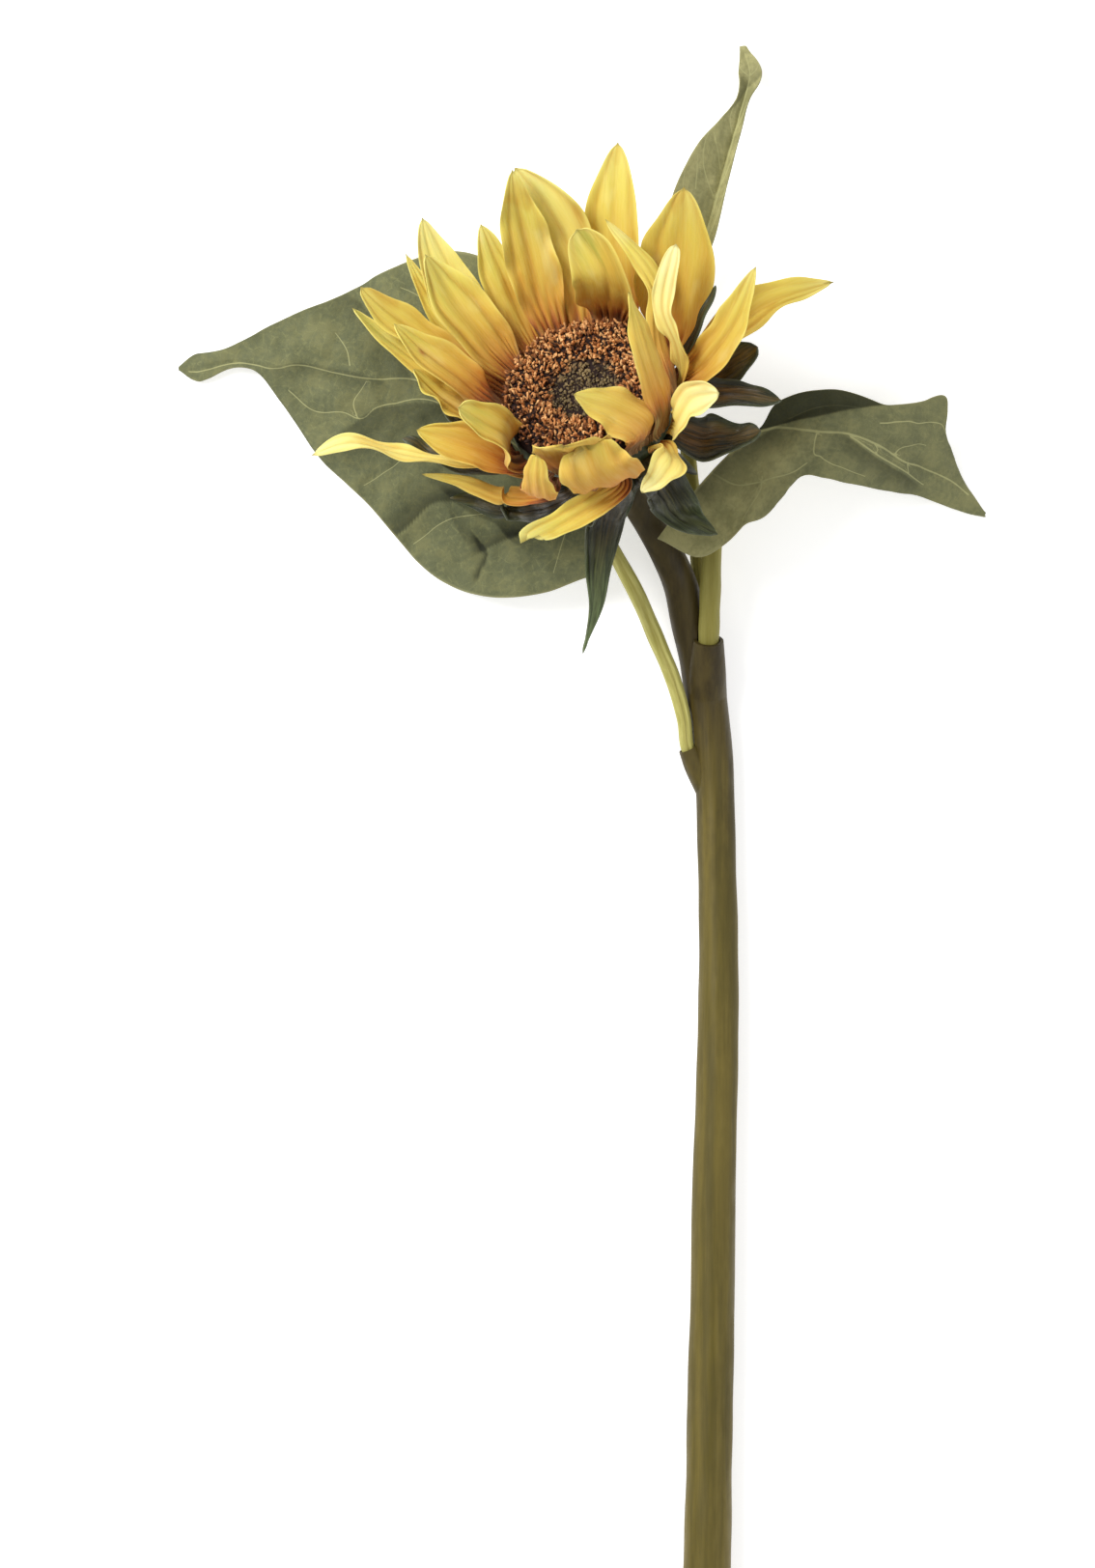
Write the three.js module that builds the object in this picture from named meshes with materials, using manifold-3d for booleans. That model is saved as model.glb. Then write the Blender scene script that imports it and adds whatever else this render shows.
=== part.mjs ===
// A cut sunflower lying on its back, as a scene graph of its separate pieces, in millimetres.
// +Z is up from the surface it lies on, +Y runs along the stem towards the head, +X is to the right
// of someone who looks down on it. The group's origin is the bottom centre of its bounding box.
import * as THREE from "three";
import { mergeVertices } from "three/addons/utils/BufferGeometryUtils.js";
import Module from "manifold-3d";

const wasm = await Module();
wasm.setup();

// ---- Driving dimensions. Places are measured from the point of the surface under the disc's centre.

const GAP = 0.3; // left between pieces that touch
const deg = THREE.MathUtils.degToRad;

// The head: where the seed disc's centre is, how far its axis leans from upright, and to which side.
const head = { centre: [1.5, -1.4, 64.5], tilt: deg(38), heading: deg(23.6), discRadius: 25.4 };

// The green receptacle: its collar, on which the petals sit, and its foot, where the stem ends.
const receptacle = { collarRadius: 25.8, collarTop: -4.6, collarFoot: -10.5, foot: -26, footRadius: 5.8 };

// The rows of petals and sepals on the receptacle, by height along the head's axis.
const rows = { inner: -5.5, middle: -7.7, outer: -9.9, upperSepal: -12.6, lowerSepal: -15.2 };

const PETAL_THICKNESS = 0.7;
const SEPAL_THICKNESS = 0.9;
const LEAF_THICKNESS = 0.9;

// Each petal: the angle round the head where it sits (0 on the right, 90 at the top), its row, how
// steeply it leaves the collar (90 is along the head's axis), points its spine passes through if it
// does not simply bend over, where its tip ends, its width, and then only where it needs them its
// roll, how far its edges curl up as a share of its half width, its sideways bow, how far out it is
// widest (1.1 is the middle) and how pointed it is (0.75).
const petals = [
  // The far side, from the top round to the left
  { at: 52.5, row: "outer", lift: 8, via: [[10.2, 50.5, 46.5]], tip: [11.7, 74.3, 43], width: 18,
    cup: 0.25, wide: 1.2 },
  { at: 93, row: "middle", lift: 50, tip: [-20.4, 65, 58.5], width: 16, cup: 0.3, bow: -1 },
  { at: 77, row: "outer", lift: 45, tip: [-19.4, 66, 52], width: 22, cup: 0.2, bow: -3, point: 0.6 },
  { at: 55, row: "inner", lift: 60, via: [[6.6, 33, 71.5]], tip: [-0.8, 46.2, 71], width: 19,
    cup: 0.3, point: 0.45 },
  { at: 107, row: "outer", lift: 46, tip: [-29.8, 49.3, 47], width: 14, cup: 0.2, bow: -1 },
  { at: 120.5, row: "outer", lift: 25, tip: [-47.3, 51.7, 41.5], width: 17, cup: 0.2, bow: 1.5 },
  { at: 127, row: "middle", lift: 50, tip: [-46.5, 39.8, 52.5], width: 18, cup: 0.3 },
  { at: 140.5, row: "outer", lift: 25, tip: [-66.2, 31, 38.1], width: 12.7, cup: 0.2, bow: -1.5,
    wide: 1.4, point: 0.55 },
  { at: 152, row: "outer", lift: 8, tip: [-69, 24.8, 31], width: 9, cup: 0.15, bow: -5.5 },
  { at: 158, row: "inner", lift: 50, tip: [-55.8, 18.4, 60.5], width: 16, cup: 0.3, bow: -1 },
  { at: 168, row: "middle", lift: 40, tip: [-50, 4.6, 62], width: 13, cup: 0.2, point: 0.5 },
  { at: 132, row: "outer", lift: -3, tip: [-52.9, 41.5, 27.7], width: 8.1, cup: 0.15, bow: -2.5,
    wide: 1.2 },
  // The near left
  { at: 199.5, row: "inner", lift: 40, via: [[-23.4, -14.6, 78.4]], tip: [-36.4, -7.9, 85.4],
    width: 15, cup: 0.3, wide: 0.6, point: 0.4, roll: -51 },
  { at: 204, row: "middle", lift: 28, via: [[-32.1, -19.3, 72.3]], tip: [-48.8, -13.8, 71.7],
    width: 13, cup: 0.4, roll: -55, wide: 1.2 },
  { at: 214, row: "outer", lift: 20,
    via: [[-29, -24, 63], [-52, -21.2, 60.5], [-69.5, -17.5, 58.5]], tip: [-80.6, -21, 57],
    width: 8.6, cup: 0.2, wide: 2.4 },
  { at: 226, row: "outer", lift: -20, via: [[-22, -33.5, 56], [-38, -28, 53]],
    tip: [-47.5, -26.4, 52], width: 6, cup: 0.2, roll: 75, wide: 0.9 },
  { at: 219, row: "middle", lift: 10, via: [[-12, -34, 78], [-13.5, -29, 90]],
    tip: [-12.5, -22.5, 95], width: 11, cup: 0.2, point: 0.35 },
  // The near side, standing towards the viewer
  { at: 252, row: "inner", lift: 60, via: [[-2, -21.5, 90]], tip: [-4.8, -19.5, 102], width: 25,
    cup: 0.2, point: 0.4 },
  { at: 261, row: "middle", lift: 0, via: [[9.4, -30.4, 84.5], [4.6, -26.7, 93.1]],
    tip: [1.7, -19.8, 97], width: 22.7, cup: 0.15, point: 0.2, wide: 1.3 },
  { at: 267, row: "outer", lift: -23, via: [[4.6, -35.9, 76.6]], tip: [-15, -47.2, 84.1],
    width: 8.8, cup: 0.2, roll: -52, wide: 1.3, point: 0.2 },
  { at: 286.5, row: "inner", lift: 76, via: [[19.2, -13.7, 84.1], [11.5, -8.6, 87.4]],
    tip: [-1.6, -4.2, 93.2], width: 16.6, cup: 0.2, roll: 23, wide: 0.85 },
  { at: 307, row: "middle", lift: 80, via: [[25, -9, 78], [21.5, 3.7, 87]], tip: [14.4, 26, 97],
    width: 11, cup: 0.2, wide: 0.8 },
  { at: 332, row: "middle", lift: 80, via: [[23.3, 12.2, 72.4], [21.8, 29.3, 73.6]],
    tip: [7.7, 49.1, 72.9], width: 7.4, cup: 0.2, roll: -26, bow: 1 },
  // The right side
  { at: 344, row: "middle", lift: 54, via: [[29.7, 10.6, 75.1], [24.7, 21.9, 80.7]],
    tip: [28.7, 41, 84.1], width: 7, cup: 0.2, roll: 61, wide: 1.7, point: 0.4 },
  { at: 12, row: "outer", lift: 55, tip: [31.4, 58.8, 71], width: 25.5, cup: 0.2, roll: 30, bow: 2,
    wide: 1.25 },
  { at: 345, row: "outer", lift: 60, via: [[38, 6.5, 73], [46, 18, 79.5]], tip: [52.6, 34.2, 84],
    width: 13, cup: 0.2, roll: 25 },
  { at: 356.5, row: "outer", lift: 6, via: [[54.4, 24.5, 59.4]], tip: [76, 31.1, 55.7], width: 15,
    cup: 0.2, wide: 1.1 },
  { at: 313.5, row: "outer", lift: 59, via: [[29.2, -12.7, 77.9], [32.8, -5.6, 85.5]],
    tip: [41.6, -3.8, 90], width: 12, cup: 0.2, roll: 40, wide: 1.5, point: 0.6 },
  { at: 298, row: "outer", lift: 35, via: [[27.2, -23, 79]], tip: [18.3, -33.6, 90], width: 10.8,
    cup: 0.2, roll: -65, wide: 0.9 },
];

// Each sepal, described as a petal is.
const sepals = [
  { at: 1, row: "middle", lift: 55, via: [[33, 11.5, 68.5]], tip: [40.6, 29.2, 75], width: 3.6,
    cup: 0.2, point: 0.5 },
  { at: 353, row: "lowerSepal", lift: 15, via: [[41, 3.5, 52]], tip: [53.5, 12, 55], width: 12,
    cup: 0.2, roll: 25, wide: 1.6, point: 0.5 },
  { at: 340, row: "upperSepal", lift: 25, via: [[46, -3, 62]], tip: [61, -4, 60], width: 11,
    cup: 0.2 },
  { at: 318, row: "lowerSepal", lift: 20, via: [[38, -17, 62]], tip: [54.5, -13.8, 64], width: 15,
    cup: 0.2, point: 0.6 },
  { at: 291, row: "upperSepal", lift: 0, via: [[26, -30.5, 53.6], [30.5, -37.3, 49]],
    tip: [41.3, -44.3, 44], width: 17, cup: 0.3, wide: 0.8 },
  { at: 262, row: "upperSepal", lift: -10, via: [[8, -40, 50], [6, -54, 44], [5, -66, 38]],
    tip: [1.2, -80.5, 34], width: 12.5, cup: 0.25, wide: 0.65, point: 1.2 },
  { at: 234, row: "lowerSepal", lift: 0, via: [[-20, -36, 46]], tip: [-39, -33, 43], width: 10,
    cup: 0.2, roll: 50 },
  { at: 190, row: "upperSepal", lift: 0, tip: [-53.5, -15.2, 46], width: 11, cup: 0.2, bow: -3 },
  { at: 280, row: "lowerSepal", lift: -30, via: [[13, -34, 46]], tip: [11.5, -42.6, 40], width: 9,
    cup: 0.2 },
  { at: 30, row: "lowerSepal", lift: 10, tip: [36, 30, 40], width: 13, cup: 0.2 },
  { at: 62, row: "upperSepal", lift: 15, tip: [8, 46, 35], width: 13, cup: 0.2 },
  { at: 95, row: "lowerSepal", lift: 15, tip: [-20, 40, 31], width: 13, cup: 0.2 },
  { at: 128, row: "lowerSepal", lift: 0, tip: [-41, 30, 24], width: 13, cup: 0.2 },
  { at: 160, row: "upperSepal", lift: 5, tip: [-42, 9, 33], width: 13, cup: 0.2 },
];

// Each leaf: points that its midrib passes through from the base, and at even steps from base to tip
// the half widths of its two sides (seen from above, looking from the base to the tip) and how steeply
// each side rises from the midrib; then how much more it rises towards its edge, the waves of its
// edge, how far its lobes sweep back beside the stalk and how sharply (1 is straight), and the share
// of its length that a blunt tip is rounded over.
const leaves = {
  leaf_left: {
    midrib: [[3.5, -36, 21], [-24, -20, 20], [-50, -6, 17], [-76, 3, 13], [-103, 10.5, 5],
      [-123.3, 8, 0]],
    left: [17, 29.5, 38, 42.5, 43.8, 42.5, 39.5, 36.5, 33, 29.5, 25.5, 18.5, 11, 3.8, 2.8, 5.3, 6],
    right: [12, 34, 46, 52, 52, 38, 20, 4.3, 4.2],
    leftRise: [-5, -10, -12, -15, -10],
    rightRise: [-5, -5, -5, -5, -5],
    curl: -8,
    wave: 2,
    waves: 5,
    leftLobe: 12,
    rightLobe: 12,
    sweep: 1.5,
    blunt: 0.025,
  },
  leaf_right: {
    midrib: [[55, -12.5, 27], [70, -12, 30], [86, -16, 27], [99, -22, 18], [110, -29, 8],
      [125, -37, -1]],
    left: [1, 7.5, 10.3, 12.2, 13.7, 14, 13.9, 14, 17, 20.5, 25, 15.5, 12.5, 9.5, 6, 3, 0.6],
    right: [33, 38, 35.5, 32, 29, 16, 14, 13.5, 12.3, 11, 9.5, 7.6, 5.2, 4, 3.2, 2.2, 0.6],
    leftRise: [0, -10, -10, -10, 0],
    rightRise: [16, 8, -5, -10, 0],
    curl: 0,
    wave: 1,
    waves: 4,
    leftLobe: 0,
    rightLobe: 31,
    sweep: 0.75,
    blunt: 0,
  },
  leaf_top: {
    midrib: [[34.5, 37, 12], [38.5, 48, 14], [41.5, 59, 14], [45.5, 73, 12.5], [48.8, 84, 10.5],
      [50.8, 91, 8.5], [52.4, 98, 6], [50.4, 107, 3]],
    left: [8, 14, 17, 16.5, 13.5, 7, 2.5, 3.5, 1],
    right: [3, 4, 4, 3.5, 3, 2.5, 2, 4, 1],
    leftRise: [40, 42, 45, 30, 0],
    rightRise: [40, 40, 40, 30, 0],
    curl: 0,
    wave: 0.5,
    waves: 3,
    leftLobe: 5,
    rightLobe: 2,
    sweep: 1.5,
    blunt: 0,
  },
};

// Each leaf stalk: [x, y, z, radius] from the bottom of its bore in the stem to its leaf, and the
// socket that stands out from the stem around its end.
const petioles = {
  petiole_left: {
    line: [[35.6, -113.5, 7.2, 2], [33.3, -108.5, 8.6, 2.1], [32.2, -100, 10.6, 2.2],
      [28.9, -88, 13, 2.4], [23.9, -76, 15.4, 2.5], [17.9, -62.3, 18, 2.5],
      [11, -49.5, 20, 2.3], [4.7, -37.9, 21, 1.6]],
    socket: [[39.5, -122, 6, 3.6], [36, -114, 7, 3.8], [33.6, -109, 8.3, 3.1]],
  },
  petiole_right: {
    line: [[39.4, -83, 13.5, 3], [39.8, -73, 16.5, 3.2], [40.2, -60, 18, 3.2], [41, -45, 19.5, 3],
      [45.5, -29, 21.4, 2.6], [50, -18, 23.3, 2.1], [54.6, -12.8, 25, 1.3]],
    socket: [[39.2, -93, 7.2, 6.3], [39.4, -84, 12, 5.6], [39.7, -76, 16, 4.6]],
  },
  petiole_top: {
    line: [[36.5, -72, 8, 2.2], [37.2, -62, 8, 2.3], [35.6, -40, 9, 2.5], [33.4, -16, 10.5, 2.4],
      [33.4, 15, 11.5, 2.2], [34, 35.2, 12, 1.5]],
    socket: [[36.5, -82, 7.4, 5], [36.8, -73, 8, 4.4], [37, -64, 8, 3.4]],
  },
};

// The seed disc's section, [radius, height along the head's axis]: a raised ring round a hollow.
const R = head.discRadius;
const discProfile = [
  [0, -2], [0.24 * R, -1.8], [0.42 * R, -0.7], [0.56 * R, 0.9], [0.72 * R, 1.8], [0.87 * R, 1.3],
  [0.96 * R, -0.6], [R, -2.6], [R, receptacle.collarTop + GAP], [0, receptacle.collarTop + GAP],
];

// The stem's centreline with its radius there, from the cut end up to the receptacle.
const stemLine = [
  [37.3, -460, 8.0, 8.0],
  [39.4, -359, 7.3, 7.3],
  [41.8, -236, 6.6, 6.6],
  [42.9, -188, 6.2, 6.2],
  [42.7, -150, 5.9, 5.9],
  [41.6, -118, 6.0, 6.0],
  [39.4, -97, 6.6, 6.5],
  [37.4, -82, 8.2, 6.4],
  [34.0, -71, 10.4, 5.6],
  [31.0, -59, 13.8, 5.2],
  [27.0, -50, 17.2, 5.0],
  [21.8, -41, 21.5, 4.7],
  [16.0, -32, 26.8, 4.4],
];
const CUT_SLANT = 0.6; // how far the cut end is sheared, as a share of its height

// ---- The head's own directions: its axis, level across it to the right, and up its face.

const axis = new THREE.Vector3(
  -Math.sin(head.tilt) * Math.sin(head.heading),
  Math.sin(head.tilt) * Math.cos(head.heading),
  Math.cos(head.tilt),
);
const across = new THREE.Vector3(Math.cos(head.heading), Math.sin(head.heading), 0);
const upward = axis.clone().cross(across);
const centre = new THREE.Vector3(...head.centre);

function alongAxis(height) {
  return centre.clone().addScaledVector(axis, height);
}

// ---- Small helpers

function vector([x, y, z]) {
  return new THREE.Vector3(x, y, z);
}

// The value at t (0 to 1) of a row of evenly spaced stations, with a smooth curve through them.
function station(values, t) {
  const place = Math.min(Math.max(t, 0), 1) * (values.length - 1);
  const i = Math.min(Math.floor(place), values.length - 2);
  const f = place - i;
  const before = values[Math.max(i - 1, 0)];
  const after = values[Math.min(i + 2, values.length - 1)];
  const a = values[i];
  const b = values[i + 1];
  return 0.5 * (2 * a + (b - before) * f + (2 * before - 5 * a + 4 * b - after) * f * f
    + (3 * a - before - 3 * b + after) * f * f * f);
}

// A closed solid from rings of equal length, with a fan over each end.
function solidFromRings(rings) {
  const sides = rings[0].length;
  const positions = rings.flat().flatMap((p) => p.toArray());
  const index = [];
  for (let i = 0; i + 1 < rings.length; i++) {
    for (let j = 0; j < sides; j++) {
      const a = i * sides + j;
      const b = i * sides + ((j + 1) % sides);
      index.push(a, b, b + sides, a, b + sides, a + sides);
    }
  }
  for (const [ring, flip] of [[0, true], [rings.length - 1, false]]) {
    const middle = positions.length / 3;
    const sum = new THREE.Vector3();
    rings[ring].forEach((p) => sum.add(p));
    positions.push(...sum.divideScalar(sides).toArray());
    for (let j = 0; j < sides; j++) {
      const a = ring * sides + j;
      const b = ring * sides + ((j + 1) % sides);
      index.push(...(flip ? [middle, b, a] : [middle, a, b]));
    }
  }
  const geometry = new THREE.BufferGeometry();
  geometry.setAttribute("position", new THREE.Float32BufferAttribute(positions, 3));
  geometry.setIndex(index);
  return geometry;
}

// A round bar along a smooth line of [x, y, z, radius], its first end sheared by `slant`.
function bar(line, steps, sides, slant = 0, grow = 0) {
  const curve = new THREE.CatmullRomCurve3(line.map(vector), false, "centripetal");
  const rings = [];
  let side = new THREE.Vector3(1, 0, 0);
  for (let i = 0; i <= steps; i++) {
    const t = i / steps;
    const middle = curve.getPoint(t);
    const ahead = curve.getTangent(t);
    side = side.clone().addScaledVector(ahead, -side.dot(ahead)).normalize();
    const up = side.clone().cross(ahead);
    const place = t * (line.length - 1);
    const k = Math.min(Math.floor(place), line.length - 2);
    const radius = THREE.MathUtils.lerp(line[k][3], line[k + 1][3], place - k) + grow;
    const ring = [];
    for (let j = 0; j < sides; j++) {
      const angle = ((j + 0.5) / sides) * 2 * Math.PI;
      const p = middle.clone().addScaledVector(side, -radius * Math.cos(angle));
      p.addScaledVector(up, radius * Math.sin(angle));
      if (i === 0) p.addScaledVector(ahead, slant * radius * Math.sin(angle) - grow);
      ring.push(p);
    }
    rings.push(ring);
  }
  return solidFromRings(rings);
}

// A thin closed sheet: `surface(v, t)` gives its middle for v from -1 to 1 and t from 0 to 1.
function sheet(surface, columns, steps, thickness) {
  const rings = [];
  const e = 1e-3;
  for (let i = 0; i <= steps; i++) {
    const t = i / steps;
    const top = [];
    const bottom = [];
    for (let j = 0; j <= columns; j++) {
      const v = (2 * j) / columns - 1;
      const p = surface(v, t);
      const dv = surface(Math.min(v + e, 1), t).sub(surface(Math.max(v - e, -1), t));
      const dt = surface(v, Math.min(t + e, 1)).sub(surface(v, Math.max(t - e, 0)));
      const normal = dt.cross(dv).normalize();
      top.push(p.clone().addScaledVector(normal, thickness / 2));
      bottom.push(p.clone().addScaledVector(normal, -thickness / 2));
    }
    rings.push([...top, ...bottom.reverse()]);
  }
  return stripEnds(rings, columns);
}

// The sheet's rings closed into a solid, its two ends covered by strips rather than fans.
function stripEnds(rings, columns) {
  const sides = rings[0].length;
  const positions = rings.flat().flatMap((p) => p.toArray());
  const index = [];
  for (let i = 0; i + 1 < rings.length; i++) {
    for (let j = 0; j < sides; j++) {
      const a = i * sides + j;
      const b = i * sides + ((j + 1) % sides);
      index.push(a, b + sides, b, a, a + sides, b + sides);
    }
  }
  const last = (rings.length - 1) * sides;
  for (let j = 0; j < columns; j++) {
    const far = sides - 1 - j;
    index.push(j, j + 1, far, far, j + 1, far - 1);
    index.push(last + j, last + far, last + j + 1, last + far, last + far - 1, last + j + 1);
  }
  const geometry = new THREE.BufferGeometry();
  geometry.setAttribute("position", new THREE.Float32BufferAttribute(positions, 3));
  geometry.setIndex(index);
  return geometry;
}

function toManifold(geometry) {
  const plain = geometry.clone();
  plain.deleteAttribute("normal");
  plain.deleteAttribute("uv");
  const merged = mergeVertices(plain, 1e-4);
  return new wasm.Manifold(new wasm.Mesh({
    numProp: 3,
    vertProperties: new Float32Array(merged.attributes.position.array),
    triVerts: new Uint32Array(merged.index.array),
  }));
}

function fromManifold(solid) {
  const mesh = solid.getMesh();
  const geometry = new THREE.BufferGeometry();
  geometry.setAttribute("position", new THREE.BufferAttribute(mesh.vertProperties, 3));
  geometry.setIndex(new THREE.BufferAttribute(mesh.triVerts, 1));
  return geometry;
}

// ---- Petals and sepals

// How wide a petal is along its length, as a share of its greatest width: narrow where it is
// gathered into the head, widest where `wide` puts it, drawn to a short point.
function outline(t, wide = 1.12, point = 0.75) {
  return Math.max(Math.sin(Math.PI * (0.11 + 0.89 * t) ** wide) ** point, 0.07);
}

// The receptacle's radius at a height along the head's axis.
function collarRadius(height) {
  const profile = receptacleProfile();
  for (let i = 1; i + 1 < profile.length - 1; i++) {
    const [r0, h0] = profile[i];
    const [r1, h1] = profile[i + 1];
    if (height <= h0 && height >= h1 && h0 !== h1) {
      return THREE.MathUtils.lerp(r0, r1, (h0 - height) / (h0 - h1));
    }
  }
  return receptacle.collarRadius;
}

function receptacleProfile() {
  const r = receptacle;
  return [
    [0, r.collarTop],
    [r.collarRadius, r.collarTop],
    [r.collarRadius, r.collarFoot],
    [r.collarRadius - 1.2, r.collarFoot - 2.4],
    [r.collarRadius - 4, r.collarFoot - 5.6],
    [r.collarRadius - 10, r.collarFoot - 9],
    [r.footRadius + 1.6, r.foot + 3.4],
    [r.footRadius, r.foot],
    [0, r.foot],
  ];
}

// A petal's or a sepal's middle surface: its spine leaves the collar at the lift and bends over to
// the tip, through any points it is given, and its blade is held across the spine.
function bladeSurface(blade, thickness) {
  const at = deg(blade.at);
  const outward = across.clone().multiplyScalar(Math.cos(at)).addScaledVector(upward, Math.sin(at));
  const round = axis.clone().cross(outward);
  const lift = deg(blade.lift);
  const height = rows[blade.row];
  const seat = collarRadius(height) + GAP + 0.5 * thickness * Math.abs(Math.sin(lift)) + 0.05;
  const base = alongAxis(height).addScaledVector(outward, seat);
  const tip = vector(blade.tip);
  const start = outward.clone().multiplyScalar(Math.cos(lift)).addScaledVector(axis, Math.sin(lift));
  const via = (blade.via ?? []).map(vector);
  const curve = via.length
    ? new THREE.CatmullRomCurve3([base, base.clone().addScaledVector(start, 4), ...via, tip], false,
      "centripetal")
    : new THREE.QuadraticBezierCurve3(
      base, base.clone().addScaledVector(start, 0.5 * tip.distanceTo(base)), tip);
  return (v, t) => {
    const ahead = curve.getTangentAt(t);
    const side = round.clone().addScaledVector(ahead, -round.dot(ahead)).normalize();
    side.applyAxisAngle(ahead, deg((blade.roll ?? 0) * Math.min(4 * t, 1)));
    const face = ahead.clone().cross(side);
    const half = 0.5 * blade.width * outline(t, blade.wide, blade.point);
    const p = curve.getPointAt(t);
    p.addScaledVector(side, v * half + (blade.bow ?? 0) * Math.sin(Math.PI * t));
    return p.addScaledVector(face, blade.cup * half * v * v * Math.min(4 * t, 1));
  };
}

// ---- Leaves

// A leaf's middle surface: a midrib, two half blades that leave it at their own angles and curl
// with the distance from it, and the lobes swept back beside the stalk. Nothing goes below the
// surface the flower lies on.
function leafSurface(leaf) {
  const rib = new THREE.CatmullRomCurve3(leaf.midrib.map(vector), false, "centripetal");
  const vertical = new THREE.Vector3(0, 0, 1);
  return (v, t) => {
    const ahead = rib.getTangentAt(t);
    const left = vertical.clone().cross(ahead).normalize();
    const face = ahead.clone().cross(left);
    const share = Math.abs(v);
    const isLeft = v > 0;
    const rounding = 1 - 0.98 * THREE.MathUtils.smoothstep(t, 1 - 2 * leaf.blunt, 1);
    const half = station(isLeft ? leaf.left : leaf.right, t) * Math.sqrt(rounding);
    const rise = deg(station(isLeft ? leaf.leftRise : leaf.rightRise, t) + leaf.curl * share);
    const distance = share * half;
    const p = rib.getPointAt(t);
    p.addScaledVector(left, Math.sign(v) * distance * Math.cos(rise));
    p.addScaledVector(face, distance * Math.sin(rise));
    p.addScaledVector(face, leaf.wave * share * share * Math.sin(leaf.waves * Math.PI * t + (isLeft ? 0 : 1.5)));
    const lobe = isLeft ? leaf.leftLobe : leaf.rightLobe;
    p.addScaledVector(ahead, -lobe * share ** leaf.sweep * (1 - t) ** 3);
    const floor = LEAF_THICKNESS / 2;
    p.z = floor + 0.5 * (p.z - floor + Math.hypot(p.z - floor, 1.2));
    return p;
  };
}

// ---- Assembly

const materials = {
  petal: { color: "#f3c81e", roughness: 0.75 },
  sepal: { color: "#2b3320", roughness: 0.35 },
  leaf: { color: "#5d6440", roughness: 0.8 },
  petiole: { color: "#a9a55f", roughness: 0.6 },
  stem: { color: "#625a30", roughness: 0.55 },
  receptacle: { color: "#39432a", roughness: 0.45 },
  seeds: { color: "#6b3f1c", roughness: 0.9 },
};

const flower = new THREE.Group();
flower.name = "cut_sunflower";

function add(name, geometry, slot) {
  const material = new THREE.MeshStandardMaterial({ ...materials[slot], metalness: 0 });
  material.name = slot;
  const mesh = new THREE.Mesh(geometry, material);
  mesh.name = name;
  flower.add(mesh);
}

function lathed(profile, segments) {
  const geometry = new THREE.LatheGeometry(profile.map(([r, h]) => new THREE.Vector2(r, h)), segments);
  // The lathe turns about +Y; +Y goes to the head's axis.
  const turn = new THREE.Matrix4().makeBasis(across, axis, across.clone().cross(axis));
  geometry.applyMatrix4(turn.setPosition(centre));
  return geometry;
}

const two = (i) => String(i + 1).padStart(2, "0");

const foot = alongAxis(receptacle.foot - GAP);
const neck = alongAxis(receptacle.foot - 9);
const stemCurve = [
  ...stemLine,
  [neck.x, neck.y, neck.z, 4.4],
  [foot.x, foot.y, foot.z, 5.4],
];
let stem = toManifold(bar(stemCurve, 36, 16, CUT_SLANT));
for (const petiole of Object.values(petioles)) {
  stem = stem.add(toManifold(bar(petiole.socket, 6, 12)));
}
for (const petiole of Object.values(petioles)) {
  stem = stem.subtract(toManifold(bar(petiole.line, 14, 10, 0, GAP + 0.05)));
}
add("stem", fromManifold(stem), "stem");
for (const [name, petiole] of Object.entries(petioles)) {
  add(name, bar(petiole.line, 14, 10), "petiole");
}
for (const [name, leaf] of Object.entries(leaves)) {
  add(name, sheet(leafSurface(leaf), 14, 32, LEAF_THICKNESS), "leaf");
}
add("receptacle", lathed(receptacleProfile().reverse(), 32), "receptacle");
add("seed_disc", lathed(discProfile.slice().reverse(), 32), "seeds");
petals.forEach((petal, i) => {
  add(`petal_${two(i)}`, sheet(bladeSurface(petal, PETAL_THICKNESS), 4, 8, PETAL_THICKNESS), "petal");
});
sepals.forEach((sepal, i) => {
  add(`sepal_${two(i)}`, sheet(bladeSurface(sepal, SEPAL_THICKNESS), 4, 7, SEPAL_THICKNESS), "sepal");
});

// The origin goes to the bottom centre of the bounding box, by moving the geometry itself.
const box = new THREE.Box3().setFromObject(flower);
const middle = box.getCenter(new THREE.Vector3());
flower.children.forEach((mesh) => mesh.geometry.translate(-middle.x, -middle.y, -box.min.z));

export default flower;
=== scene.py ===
"""A cut sunflower with cloth petals and leaves, lying on its back on a pale floor.

Every piece is worked out in millimetres from a point of the floor under the seed disc, with +X to the
right and +Y from the cut end of the stem to the head, and then put into the CAD frame.
"""

import math

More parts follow.
